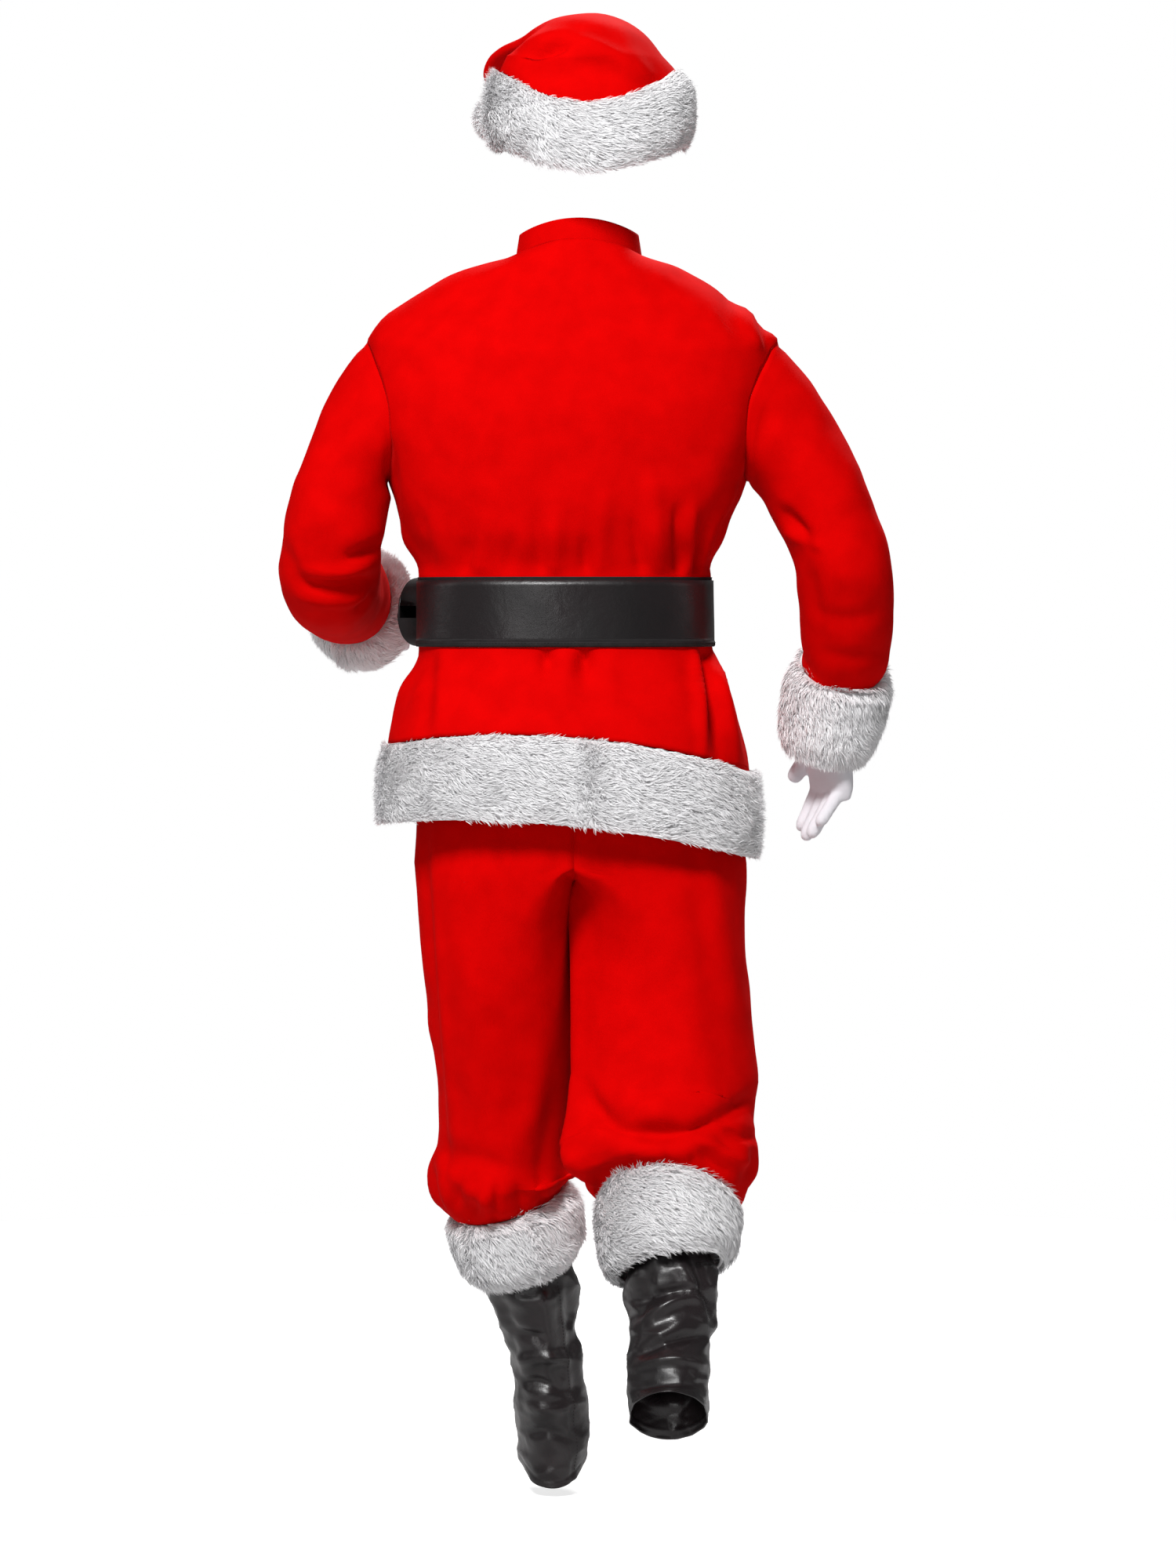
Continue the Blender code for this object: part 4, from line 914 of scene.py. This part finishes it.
def rod(name, places, radius, closed, node):
    path = bpy.data.curves.new(name, "CURVE")
    path.dimensions = "3D"
    path.bevel_depth = radius
    path.bevel_resolution = 5
    path.use_fill_caps = True
    line = path.splines.new("POLY")
    line.points.add(len(places) - 1)
    for point, place in zip(line.points, places):
        point.co = (*place, 1)
    line.use_cyclic_u = closed
    path.materials.append(GOLD)
    made = add(name, path)
    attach(made, "root")
    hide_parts(node)


front = buckle_middle[1] - BUCKLE_OUT
rod_places = []
for turn in np.linspace(0, 2 * math.pi, 72, endpoint=False):
    c, s = math.cos(turn), math.sin(turn)
    x = buckle_middle[0] + BUCKLE_WIDE * math.copysign(abs(c) ** CORNER_POWER, c)
    z = buckle_middle[2] + BUCKLE_HIGH * math.copysign(abs(s) ** CORNER_POWER, s)
    rod_places.append((x, front, z))
rod("belt_buckle_rod", rod_places, 0.0032, True, "belt_buckle")
prong_ends = [
    (buckle_middle[0] + reach, front, buckle_middle[2]) for reach in (-PRONG_REACH, 0.0, PRONG_REACH)
]
rod("belt_prong_rod", prong_ends, 0.0024, False, "belt_prong")

# %% [markdown]
# Each half of the trousers is one piece of plush: round the hip it covers half of the body, and from the
# crotch down it closes into a leg. The legs are wide and end in a fur cuff, so the cloth blouses over it.

# %% The surface of a trouser leg
LEG_LEFT = millimetres((
    (5, 105, 0, -735, 96, 142),
    (8, 103, -3, -824, 93.5, 126),
    (11, 99, -15, -920, 89, 116),
    (14, 93.5, -35, -1016, 84, 108),
    (16, 95.5, -45, -1078, 82, 106),
    (18, 97, -50, -1115, 88, 112),
    (19, 93, -52.5, -1137, 80, 100),
    (20, 88.5, -55.2, -1151.8, 66, 78),
))
LEG_RIGHT = millimetres((
    (5, -98.5, 0, -735, 103, 142),
    (8, -98, 8, -824, 104, 126),
    (11, -101, 20, -918, 107.5, 118),
    (13, -103.5, 38, -990, 110, 118),
    (15, -105.5, 60, -1049, 104.5, 115),
    (17, -109.5, 83, -1084, 105.5, 116),
    (19, -109.5, 107, -1117, 92, 102),
    (20, -107.5, 117.2, -1131.2, 74, 82),
))
HIPS = millimetres((
    (0, 182, 20, -142, 108, -132, -425),
    (1, 189, 17, -150, 118, -138, -485),
    (3, 200, 10, -180, 146, -148, -605),
    (5, 204, 8.6, -201, 145, -145, -728),
))
LEG_LATERAL = 12
LEG_MEDIAL = 8
CROTCH_ROW = 5
LEG_END = 20
LEG_BLEND = 4
CROTCH_DROP = 0.022
BLOUSE_ROW = 18.2
BLOUSE_DEPTH = 0.005


def hips(row, column, side):
    left, middle, right, back_y, front_y, z = np.moveaxis(read(HIPS, row), -1, 0)
    angle = np.pi * (column / LEG_LATERAL - 0.5)
    width = np.where(side > 0, left, right) - middle
    power = 2 / 2.3
    x = middle + width * np.abs(np.cos(angle)) ** power
    y = np.where(angle > 0, back_y, -front_y) * np.sign(angle) * np.abs(np.sin(angle)) ** power
    return np.stack(np.broadcast_arrays(x, y, z), -1)


def trouser_leg(row, column, side):
    table = LEG_LEFT if side > 0 else LEG_RIGHT
    on_side = np.minimum(column, LEG_LATERAL)
    inner = np.clip((column - LEG_LATERAL) / LEG_MEDIAL, 0, 1)
    lateral_angle = np.pi * (on_side / LEG_LATERAL - 0.5)
    angle = np.where(column <= LEG_LATERAL, lateral_angle, np.pi * (0.5 + inner))
    oval = tube(table, np.maximum(row, CROTCH_ROW), side * angle, (side, 0.0, 0.0))
    outer_top = hips(np.minimum(row, CROTCH_ROW), on_side, side)
    front, back = hips(CROTCH_ROW, 0, side), hips(CROTCH_ROW, LEG_LATERAL, side)
    share = (1 - np.cos(np.pi * inner))[..., None] / 2
    saddle = back * (1 - share) + front * share
    saddle[..., 2] -= CROTCH_DROP * np.sin(np.pi * inner)
    top = np.where((column <= LEG_LATERAL)[..., None], outer_top, saddle)
    blend = smooth((row - CROTCH_ROW) / LEG_BLEND)[..., None]
    blouse = np.exp(-(((row - BLOUSE_ROW) / 0.9) ** 2))
    gathers = BLOUSE_DEPTH * blouse * np.cos(GATHERS * angle + np.sin(2 * angle))
    centre = read(table, np.maximum(row, CROTCH_ROW))[..., :3]
    return top * (1 - blend) + oval * blend + unit(oval - centre) * gathers[..., None]


# %% Folds of the trousers: start, bend, end in the picture, half width, height in millimetres
TROUSER_FOLDS = (
    (541, 1060, 552, 1280, 570, 1500, 6, -3.5), (532, 1060, 543, 1280, 560, 1490, 6, 2.5),
    (552, 1100, 563, 1290, 582, 1480, 7, 2), (700, 1060, 728, 1100, 733, 1160, 11, -5),
    (745, 1050, 748, 1130, 745, 1200, 16, 3), (690, 1090, 706, 1200, 712, 1330, 24, 2.5),
    (640, 1070, 660, 1200, 650, 1330, 40, -2), (600, 1200, 610, 1330, 630, 1440, 26, 2),
    (720, 1360, 712, 1430, 692, 1500, 12, -7), (700, 1330, 690, 1400, 655, 1470, 18, 4),
    (560, 1480, 600, 1530, 650, 1550, 10, 3), (566, 1462, 600, 1480, 650, 1490, 14, -3),
    (600, 1558, 606, 1540, 610, 1515, 6, -3), (630, 1560, 634, 1540, 634, 1510, 6, -3.5),
    (664, 1560, 666, 1540, 660, 1510, 6, -3), (694, 1555, 696, 1535, 690, 1505, 6, -3),
    (578, 1545, 582, 1530, 590, 1508, 6, -2.5), (742, 1375, 760, 1430, 800, 1442, 11, -8),
    (790, 1440, 850, 1452, 905, 1436, 11, -8.5), (880, 1442, 930, 1424, 964, 1396, 10, -6),
    (770, 1400, 840, 1425, 920, 1400, 18, 5), (760, 1462, 840, 1480, 900, 1462, 14, 4),
    (898, 1452, 925, 1480, 955, 1480, 9, 5.5), (890, 1462, 908, 1486, 930, 1496, 7, -5),
    (925, 1440, 945, 1452, 966, 1450, 7, -4.5), (716, 1470, 735, 1500, 760, 1512, 12, 3),
    (722, 1500, 740, 1518, 765, 1520, 6, -3), (800, 1498, 806, 1484, 808, 1470, 5, -2.5),
    (850, 1496, 852, 1482, 850, 1468, 5, -2.5), (880, 1500, 884, 1488, 882, 1472, 5, -2.5),
    (900, 1070, 920, 1180, 940, 1300, 14, 2.5), (880, 1080, 900, 1200, 915, 1330, 16, -2),
    (800, 1080, 820, 1200, 810, 1330, 44, -2), (758, 1200, 762, 1290, 775, 1370, 14, 2.5),
    (850, 1260, 880, 1330, 900, 1390, 30, 2.5), (860, 1230, 862, 1260, 858, 1290, 16, -1.5),
)

# %% Sew the trousers
# The legs turn sharply under the crotch, between rows 5 and 6, where more rows would only crowd together.
LEG_ROWS = np.concatenate([np.arange(0, 5.1, 0.5), np.arange(6, 14, 0.25), np.arange(14, 20.01, 0.15)])
LEG_FINE = 0.125
LEG_COLUMNS = np.arange(0, 20, LEG_FINE)
LAP_ROWS = (5.1, 6.3, 13.0, 16.0, 18.4, 19.6)
LAP_OUT = (0.0, 0.016, 0.016, 0.034, 0.034, 0.0)
LAP_BACK = (0.050, 0.050, 0.050, 0.035, 0.035, 0.035)
LAP_WIDE = (0.020, 0.020, 0.020, 0.035, 0.035, 0.035)
crotch = int(np.flatnonzero(np.isclose(LEG_ROWS, CROTCH_ROW))[0])
half = round(LEG_LATERAL / LEG_FINE) + 1
skip_above = np.zeros((len(LEG_ROWS) - 1, len(LEG_COLUMNS)), bool)
skip_above[:crotch, half - 1 :] = True


def lap(points):
    """The inside of the right leg hangs out in front of the left leg, as seen from the back."""
    middle = read(LEG_RIGHT, np.maximum(LEG_ROWS, CROTCH_ROW))[:, None, 1]
    out, back, wide = (
        np.interp(LEG_ROWS, LAP_ROWS, values)[:, None] for values in (LAP_OUT, LAP_BACK, LAP_WIDE)
    )
    behind = np.exp(-(((points[..., 1] - middle - back) / wide) ** 2))
    inside = smooth((points[..., 0] + 0.06) / 0.04)
    points[..., 0] += out * behind * inside
    return points


def leg_points(side):
    points = grid(lambda row, column: trouser_leg(row, column, side), LEG_ROWS, LEG_COLUMNS)
    if side < 0:
        points = lap(points)
    normals = grid_normals(points, True, side < 0)
    upper = grid_normals(points[: crotch + 2, :half], False, side < 0)
    normals[:crotch, :half] = upper[:crotch]
    moved = worked(points, normals, ((0.11, 0.004, 8.0 * side), (0.035, 0.0014, 3.0 * side)), TROUSER_FOLDS)
    # The insides of the legs rub on each other and stay smooth.
    inside = smooth((-side * normals[..., 0] - 0.5) / 0.4)
    moved = moved + (points - moved) * inside[..., None]
    end = smooth((LEG_END - LEG_ROWS) / 0.6)[:, None, None]
    # The crotch seam and the seam at the centre are drawn in, and both halves keep them.
    off = np.minimum(np.abs(LEG_COLUMNS - LEG_LATERAL), np.abs((LEG_COLUMNS + 10) % 20 - 10))
    share = np.where(LEG_ROWS[:, None] <= CROTCH_ROW + 1, smooth(off / 0.8)[None, :], 1.0)
    share = np.where(LEG_COLUMNS >= LEG_LATERAL, share * smooth(LEG_ROWS - CROTCH_ROW)[:, None], share)
    return points + (moved - points) * end * share[..., None]


for word, side in (("left", 1), ("right", -1)):
    points = leg_points(side)
    piece = grid_mesh(f"trousers_{word}_cloth", points, closed=True, flip=side < 0, skip=skip_above)
    cloth(piece, PLUSH, PLUSH_RED, f"trousers_{word}")

# %% [markdown]
# The waist is gathered on an elastic in a casing of the same plush, under the jacket, where nobody sees it.

# %% Gather the waistband
WAIST_COLUMNS = 28
WAIST_HEIGHT, WAIST_POWER = 0.034, 0.87
RIPPLES, RIPPLE_DEPTH = 40, 0.008
SEWN_GAP = 0.0004


def waist(row, column):
    angle = 2 * np.pi * column / WAIST_COLUMNS
    cosine, sine = np.cos(angle), np.sin(angle)
    left, _, right, back_y, front_y, z = read(HIPS, 0)
    ripple = 1 + RIPPLE_DEPTH * np.sin(RIPPLES * angle)
    x = (left + right) / 2 + (left - right) / 2 * ripple * np.sign(cosine) * np.abs(cosine) ** WAIST_POWER
    y = np.where(sine > 0, back_y, -front_y) * np.sign(sine) * ripple * np.abs(sine) ** WAIST_POWER
    return np.stack(np.broadcast_arrays(x, y, z - SEWN_GAP + WAIST_HEIGHT * (1 - row)), -1)


band_points = grid(waist, np.linspace(0, 0.98, 9), np.arange(0, WAIST_COLUMNS, 0.125))
waistband = grid_mesh("trousers_waistband_cloth", band_points, closed=True)
cloth(waistband, 0.0025, PLUSH_RED, "trousers_waistband")

# %% Fur cuffs of the trousers
TROUSER_CUFF_LEFT = millimetres((
    (0, 88, -55.5, -1152.5, 67, 79),
    (1, 84, -58, -1168, 78, 88),
    (3, 76, -64, -1208, 75, 84),
    (4, 69, -69, -1231, 61, 69),
))
TROUSER_CUFF_RIGHT = millimetres((
    (0, -107, 118, -1132, 75, 83),
    (1, -105, 129, -1147, 82, 90),
    (3, -103, 156, -1187, 77, 84),
    (4, -106, 165.5, -1207, 64, 71),
))
cuffs("ankle", LEG_END, 27000, (0.52, 0.09), ((0.30, 0.015), (0.12, 0.01)), 0.36, (
    ("left", 1, LEG_LEFT, TROUSER_CUFF_LEFT, 60, 14),
    ("right", -1, LEG_RIGHT, TROUSER_CUFF_RIGHT, 35, 15),
))

# %% [markdown]
# Boot covers are soft tubes of thin imitation leather that are pulled over the shins, with a seam down the
# back and a turned hem. With nothing stiff in them they crumple, so their folds are sharp and close.

# %% Pull on the boot covers
BOOT_LEFT = millimetres((
    (0, 70, -68, -1205, 45, 53),
    (2, 62, -74, -1256, 55, 61),
    (4, 47.5, -85, -1340, 45, 52),
    (6, 37, -100, -1420, 45, 58),
    (8, 34.5, -125, -1474, 42, 82),
))
BOOT_RIGHT = millimetres((
    (0, -107, 152, -1184, 45, 51),
    (2, -109.2, 174, -1234, 55.5, 61),
    (4, -106.3, 205, -1286, 49.5, 55),
    (6, -104, 235, -1332, 47, 56),
    (8, -103, 258, -1372, 45, 75),
))
BOOT_FOLDS = (
    (640, 1650, 670, 1668, 712, 1650, 10, 4), (650, 1690, 676, 1712, 700, 1702, 7, -4.5),
    (655, 1740, 690, 1722, 730, 1738, 8, 4.5), (660, 1765, 688, 1755, 716, 1776, 7, -4.5),
    (670, 1790, 694, 1806, 738, 1790, 8, 4), (668, 1830, 690, 1818, 722, 1832, 7, -3.5),
    (690, 1640, 704, 1700, 700, 1780, 9, 3), (724, 1640, 730, 1700, 736, 1780, 7, -3),
    (640, 1640, 652, 1720, 668, 1800, 8, -2.5), (800, 1640, 836, 1612, 850, 1590, 8, 5),
    (806, 1700, 840, 1668, 880, 1650, 8, 5.5), (812, 1660, 850, 1640, 905, 1650, 7, -5),
    (812, 1730, 850, 1700, 904, 1706, 7, -5.5), (815, 1745, 856, 1728, 900, 1742, 8, 5),
    (812, 1772, 850, 1752, 896, 1768, 7, -5), (815, 1790, 850, 1776, 896, 1796, 8, 4),
    (860, 1600, 884, 1640, 900, 1690, 9, 4), (880, 1600, 905, 1640, 912, 1690, 7, -3.5),
    (830, 1600, 822, 1640, 818, 1700, 7, -3.5),
)


def crumple(points, normals, size, height, seed):
    """Soft hollows that meet in sharp ridges, longer across the leg than along it."""
    squeezed = points * (1.0, 1.0, 1.7) / size + np.array((seed, -seed, seed * 0.5))
    near = np.array([noise.voronoi(Vector(p))[0][0] for p in squeezed.reshape(-1, 3)])
    return points + normals * (height * (near**2 - 0.25)).reshape(*points.shape[:2], 1)


BOOT_COLUMNS = 18
BOOT_SEAM_DEPTH, BOOT_HEM_DEPTH = 0.0014, 0.0008
boot_rows, boot_columns = np.arange(0, 8.01, 0.08), np.arange(0, BOOT_COLUMNS, 0.18)
for word, table, side in (("left", BOOT_LEFT, 1), ("right", BOOT_RIGHT, -1)):
    points = grid(
        lambda row, column: tube(table, row, 2 * np.pi * column / BOOT_COLUMNS, (side, 0.0, 0.0)),
        boot_rows, boot_columns,
    )
    normals = grid_normals(points)
    points = worked(points, normals, ((0.06, 0.0030, 5.0 * side),))
    points = crumple(points, normals, 0.050, 0.0065, 5.0 + side)
    points = crumple(points, normals, 0.024, 0.0018, 2.0 + side)
    points = worked(points, normals, (), BOOT_FOLDS, hidden=0.9)
    seam = 6.2 if side > 0 else 3.2
    off = np.abs((boot_columns - seam + 9) % BOOT_COLUMNS - 9)
    points -= normals * (BOOT_SEAM_DEPTH * np.exp(-((off / 0.25) ** 2)))[None, :, None]
    hem_row = np.exp(-(((boot_rows - 7.6) / 0.08) ** 2)) + np.exp(-(((boot_rows - 0.35) / 0.08) ** 2))
    points -= normals * (BOOT_HEM_DEPTH * hem_row)[:, None, None]
    boot = grid_mesh(f"boot_cover_{word}_hide", points, closed=True)
    cloth(boot, 0.0012, HIDE_BLACK, f"boot_cover_{word}")
    seam_index = int(np.abs(boot_columns - seam).argmin()) + 2
    line, line_normals = points[3:-3, seam_index], normals[3:-3, seam_index]
    stitches(f"boot_cover_{word}_stitches", line, line_normals, 0.0045, 0.003)

# %% [markdown]
# The hat's crown is a long tapering bag that falls over to one side. Its table gives the middle of the bag,
# where it points and its two half widths, so one grid bends over the fold and ends at the pompom.

# %% Fold the hat over and trim it
BRIM = millimetres((
    (0, 100, -116, 237, 110, 190, -112, 245, 2, 0),
    (1, 109, -130, 212, 125, 168, -126, 222, 2, 0),
    (2, 111, -132, 178, 130, 136, -130, 190, 2, 0),
    (3, 104, -124, 146, 127, 106, -124, 160, 2, 0),
), plain=(8, 9))
CROWN = millimetres((
    (1, -4, 6, 256, 0, 0.1, 0.99, 94, 94),
    (2, 0, -10, 272, 0.12, -0.14, 0.98, 78, 79),
    (3, 12, -30, 283, 0.34, -0.4, 0.85, 56, 48),
    (4, 28, -49, 282, 0.52, -0.62, 0.59, 46, 30),
    (5, 46, -68, 276, 0.62, -0.75, 0.2, 40, 17),
    (6, 68, -94, 272, 0.62, -0.75, -0.2, 34, 12),
    (7, 92, -122, 262, 0.52, -0.62, -0.6, 28, 12),
    (8, 105, -138, 243, 0.25, -0.3, -0.92, 20, 12),
    (9, 107, -146, 224.3, 0, 0, -1, 10, 10),
), plain=(4, 5, 6))
FOLD_ACROSS = (0.77, 0.64, 0.0)
FOLD_ACROSS_ANGLE = math.radians(40)
BRIM_COLUMNS = 24


def hat_crown(row, angle):
    values = read(CROWN, np.maximum(row, 1))
    along = unit(values[..., 3:6])
    turn = angle - FOLD_ACROSS_ANGLE
    bag = ring(values[..., :3], along, np.asarray(FOLD_ACROSS), -turn, values[..., 6], values[..., 7])
    base = worn_ring(BRIM, np.zeros_like(row), angle)
    t = smooth(np.minimum(row, 1))[..., None]
    return base * (1 - t) + bag * t


HAT_FOLDS = (
    (672, 74, 698, 62, 726, 54, 6, -9), (668, 60, 696, 48, 724, 40, 9, 3.5),
    (735, 50, 780, 66, 822, 100, 11, 4.5), (722, 66, 760, 84, 800, 112, 14, -3),
    (690, 84, 720, 96, 760, 92, 16, -3), (655, 90, 672, 120, 690, 150, 12, 2),
    (800, 60, 824, 90, 842, 130, 10, 2), (700, 30, 735, 24, 775, 34, 8, 1.5),
)
crown_rows, crown_columns = np.linspace(0, 9, 72), np.arange(0, 24, 0.24)
crown = grid(lambda row, column: hat_crown(row, 2 * np.pi * column / BRIM_COLUMNS), crown_rows, crown_columns)
folded = worked(crown, grid_normals(crown, True, True), ((0.05, 0.0028, 7.0),), HAT_FOLDS, hidden=0.5)
ends = (smooth(crown_rows / 0.5) * smooth((9 - crown_rows) / 2))[:, None, None]
crown = crown + (folded - crown) * ends
crown_piece = grid_mesh("hat_crown_cloth", crown, closed=True, flip=True)
cloth(crown_piece, PLUSH, PLUSH_RED, "hat_crown")

brim_points = grid(body_ring(BRIM, BRIM_COLUMNS), np.linspace(0.03, 3, 15), np.arange(0, BRIM_COLUMNS, 0.3))
band("hat_brim", brim_points, 46000, 12, (0.80, 0.11), 16, ((0.55, 0.012), (0.02, 0.01)), lift=0.34)

# %% [markdown]
# A pompom is a ball of the same fur, tied off at one point, so its fibres stand out all round.

# %% Tie the pompom
POMPOM_AT = np.array((0.107, -0.148, 0.194))
POMPOM_CORE = 0.020
turn = np.linspace(0, 2 * np.pi, 48, endpoint=False)
tilt = np.linspace(0.02, np.pi - 0.02, 25)
wide, high = np.sin(tilt)[:, None], np.cos(tilt)[:, None]
ball = np.stack([wide * np.cos(turn), wide * np.sin(turn), high + 0 * turn], -1)
ball = POMPOM_AT + POMPOM_CORE * ball
core = grid_mesh("hat_pompom_core", ball, closed=True)
cloth(core, 0, BACKING, "hat_pompom")
fur("hat_pompom_pile", ball, 13000, 80, 17, reach=0.013, lift=1.1, mess=0.9, share=0.35)

# %% [markdown]
# A glove is a knitted palm with five digits, and it has no hard edges anywhere. The quickest way to a form
# like that is to push simple closed tubes into each other, remesh them into one skin of small even faces,
# and smooth it. The wrist is then cut open, and Solidify turns the skin into knit.

# %% Knit the gloves
PALM = (
    (-0.014, 0.028, 0.022),
    (0.000, 0.029, 0.023),
    (0.022, 0.033, 0.020),
    (0.050, 0.040, 0.018),
    (0.078, 0.041, 0.016),
    (0.094, 0.036, 0.011),
)
DIGITS = (
    (-0.027, 0.080, 0.000, -0.0285, 0.134, 0.032, 0.0098),
    (-0.009, 0.084, 0.000, -0.0100, 0.143, 0.038, 0.0100),
    (0.010, 0.082, 0.000, 0.0090, 0.137, 0.042, 0.0098),
    (0.027, 0.076, 0.000, 0.0265, 0.121, 0.040, 0.0088),
    (-0.026, 0.026, 0.002, -0.054, 0.074, 0.024, 0.0112),
)


def rings_mesh(rings):
    sides, count = len(rings[0]), len(rings)
    faces = [
        (i * sides + j, (i + 1) * sides + j, (i + 1) * sides + (j + 1) % sides, i * sides + (j + 1) % sides)
        for i in range(count - 1)
        for j in range(sides)
    ]
    faces.append(tuple(range(sides)))
    faces.append(tuple((count - 1) * sides + j for j in reversed(range(sides))))
    return np.vstack(rings), faces


GLOVE_VOXEL = 0.0026
KNIT = 0.0012


def glove(node, wrist, along, across, hand):
    along = unit(along)
    across = unit(np.asarray(across) - along * (along @ np.asarray(across)))
    palmward = np.cross(across, along) * hand
    axes = np.stack([across, along, palmward])
    turn = np.linspace(0, 2 * np.pi, 24, endpoint=False)
    palm = []
    for at, wide, deep in PALM:
        wide_points = wide * np.sign(np.cos(turn)) * np.abs(np.cos(turn)) ** 0.8
        deep_points = deep * np.sign(np.sin(turn)) * np.abs(np.sin(turn)) ** 0.8
        palm.append(np.stack([wide_points, np.full(24, at), deep_points], -1))
    parts = [rings_mesh(palm)]
    for *ends, radius in DIGITS:
        root, tip = np.array(ends[:3]), np.array(ends[3:])
        direction = unit(tip - root)
        rings = []
        for reach, share in ((0.0, 1.0), (0.3, 1.0), (0.55, 0.95), (0.84, 0.95), (0.96, 0.7), (1.0, 0.3)):
            size = np.full(16, radius * share)
            here = root + (tip - root) * reach
            rings.append(ring(here, direction, np.array([0, 0, 1.0]), turn[:16] * 1.5, size, size))
        parts.append(rings_mesh(rings))
    points = np.vstack([part[0] for part in parts])
    faces, offset = [], 0
    for part_points, part_faces in parts:
        faces += [tuple(n + offset for n in face) for face in part_faces]
        offset += len(part_points)
    mesh = bpy.data.meshes.new(node)
    mesh.from_pydata((np.asarray(wrist) + points @ axes).tolist(), [], faces)
    edit(mesh, lambda work: bmesh.ops.recalc_face_normals(work, faces=work.faces))
    raw = add(f"{node}_raw", mesh)
    skin = raw.modifiers.new("skin", "REMESH")
    skin.mode = "VOXEL"
    skin.voxel_size = GLOVE_VOXEL
    soft = raw.modifiers.new("soft", "SMOOTH")
    soft.factor = 0.7
    soft.iterations = 6
    final = bpy.data.meshes.new_from_object(raw.evaluated_get(bpy.context.evaluated_depsgraph_get()))
    bpy.data.objects.remove(raw)

    def open_wrist(work):
        everything = work.verts[:] + work.edges[:] + work.faces[:]
        bmesh.ops.bisect_plane(work, geom=everything, plane_co=wrist, plane_no=-along, clear_outer=True)

    edit(final, open_wrist)
    final.materials.clear()
    final.shade_smooth()
    made = cloth(add(f"{node}_knit", final), KNIT, KNIT_WHITE, node)


glove("glove_right", (-0.3055, -0.080, -0.560), (-0.06, -0.10, -0.99), (-0.50, 0.86, 0.0), -1)
glove("glove_left", (0.2765, -0.285, -0.410), (-0.30, -0.94, -0.12), (0.60, 0.0, -0.80), 1)

# %% [markdown]
# A costume is photographed against white with broad, soft lights, so that nothing has a hard shadow. The key
# light hangs high on the camera's side and draws the folds, a weak one beside the camera fills in, two weak
# ones graze the sides, and one in front does for the hidden side what the key does for this one.

# %% Floor, lights and camera
FLOOR = -1.52
FLOOR_RADIUS = 3.2
floor_mesh = bpy.data.meshes.new("floor")
turn = np.linspace(0, 2 * np.pi, 96, endpoint=False)
rim = np.stack([np.cos(turn) * FLOOR_RADIUS, np.sin(turn) * FLOOR_RADIUS, np.full(96, FLOOR)], -1)
floor_mesh.from_pydata(rim.tolist(), [], [tuple(range(96))])
floor = add("floor", floor_mesh)
floor_look = bpy.data.materials.new("pale floor")
floor_look.use_nodes = True
floor_tree = floor_look.node_tree
floor_shader = floor_tree.nodes["Principled BSDF"]
for socket, value in (("Base Color", (0.55, 0.55, 0.55, 1)), ("Roughness", 0.9), ("Specular IOR Level", 0.1),
                      ("Emission Color", (1.0, 1.0, 1.0, 1))):
    floor_shader.inputs[socket].default_value = value
# A white floor would throw light up into every fold, so only the eye sees it as bright as this.
floor_seen = put(floor_tree, "ShaderNodeLightPath").outputs["Is Camera Ray"]
floor_glow = mapped(floor_tree, floor_seen, 0.0, 1.0, 0.0, 0.75)
floor_tree.links.new(floor_glow, floor_shader.inputs["Emission Strength"])
floor_mesh.materials.append(floor_look)


def aim(thing, place, direction):
    thing.location = place
    thing.rotation_mode = "QUATERNION"
    thing.rotation_quaternion = Vector(direction).to_track_quat("-Z", "Y")


for word, place, target_z, size, power in (
    ("key", (1.1, 4.2, 3.6), -0.5, (1.3, 1.3), 420),
    ("fill", (1.6, 5.6, -0.2), -0.8, (1.4, 1.4), 38),
    ("left", (3.6, 0.2, 0.8), -0.6, (1.0, 2.4), 10),
    ("right", (-3.6, 0.2, 0.8), -0.6, (1.0, 2.4), 6),
    ("front", (-1.1, -4.2, 3.6), -0.5, (1.3, 1.3), 360),
):
    light = bpy.data.lights.new(f"softbox_{word}", "AREA")
    light.shape = "RECTANGLE"
    light.size, light.size_y = size
    light.energy = power
    aim(add(f"softbox_{word}", light), place, Vector((0.0, 0.0, target_z)) - Vector(place))

world = bpy.data.worlds.new("studio")
world.use_nodes = True
tree = world.node_tree
background = tree.nodes["Background"]
background.inputs["Color"].default_value = (1.0, 1.0, 1.0, 1)
# The eye sees a bright backdrop, and the suit gets a weaker light from it.
is_seen = put(tree, "ShaderNodeLightPath").outputs["Is Camera Ray"]
tree.links.new(mapped(tree, is_seen, 0.0, 1.0, 0.11, 1.0), background.inputs["Strength"])
bpy.context.scene.world = world
# The photograph's red is far stronger than a film-like view would let through.
bpy.context.scene.view_settings.view_transform = "Standard"

camera_data = bpy.data.cameras.new("camera")
camera_data.sensor_width = 36
camera_data.lens = 18 / math.tan(FIELD / 2)
camera_data.clip_end = 200
camera = add("camera", camera_data)
aim(camera, EYE, FORWARD)
bpy.context.scene.camera = camera
print("lens", round(camera_data.lens, 1), "mm")
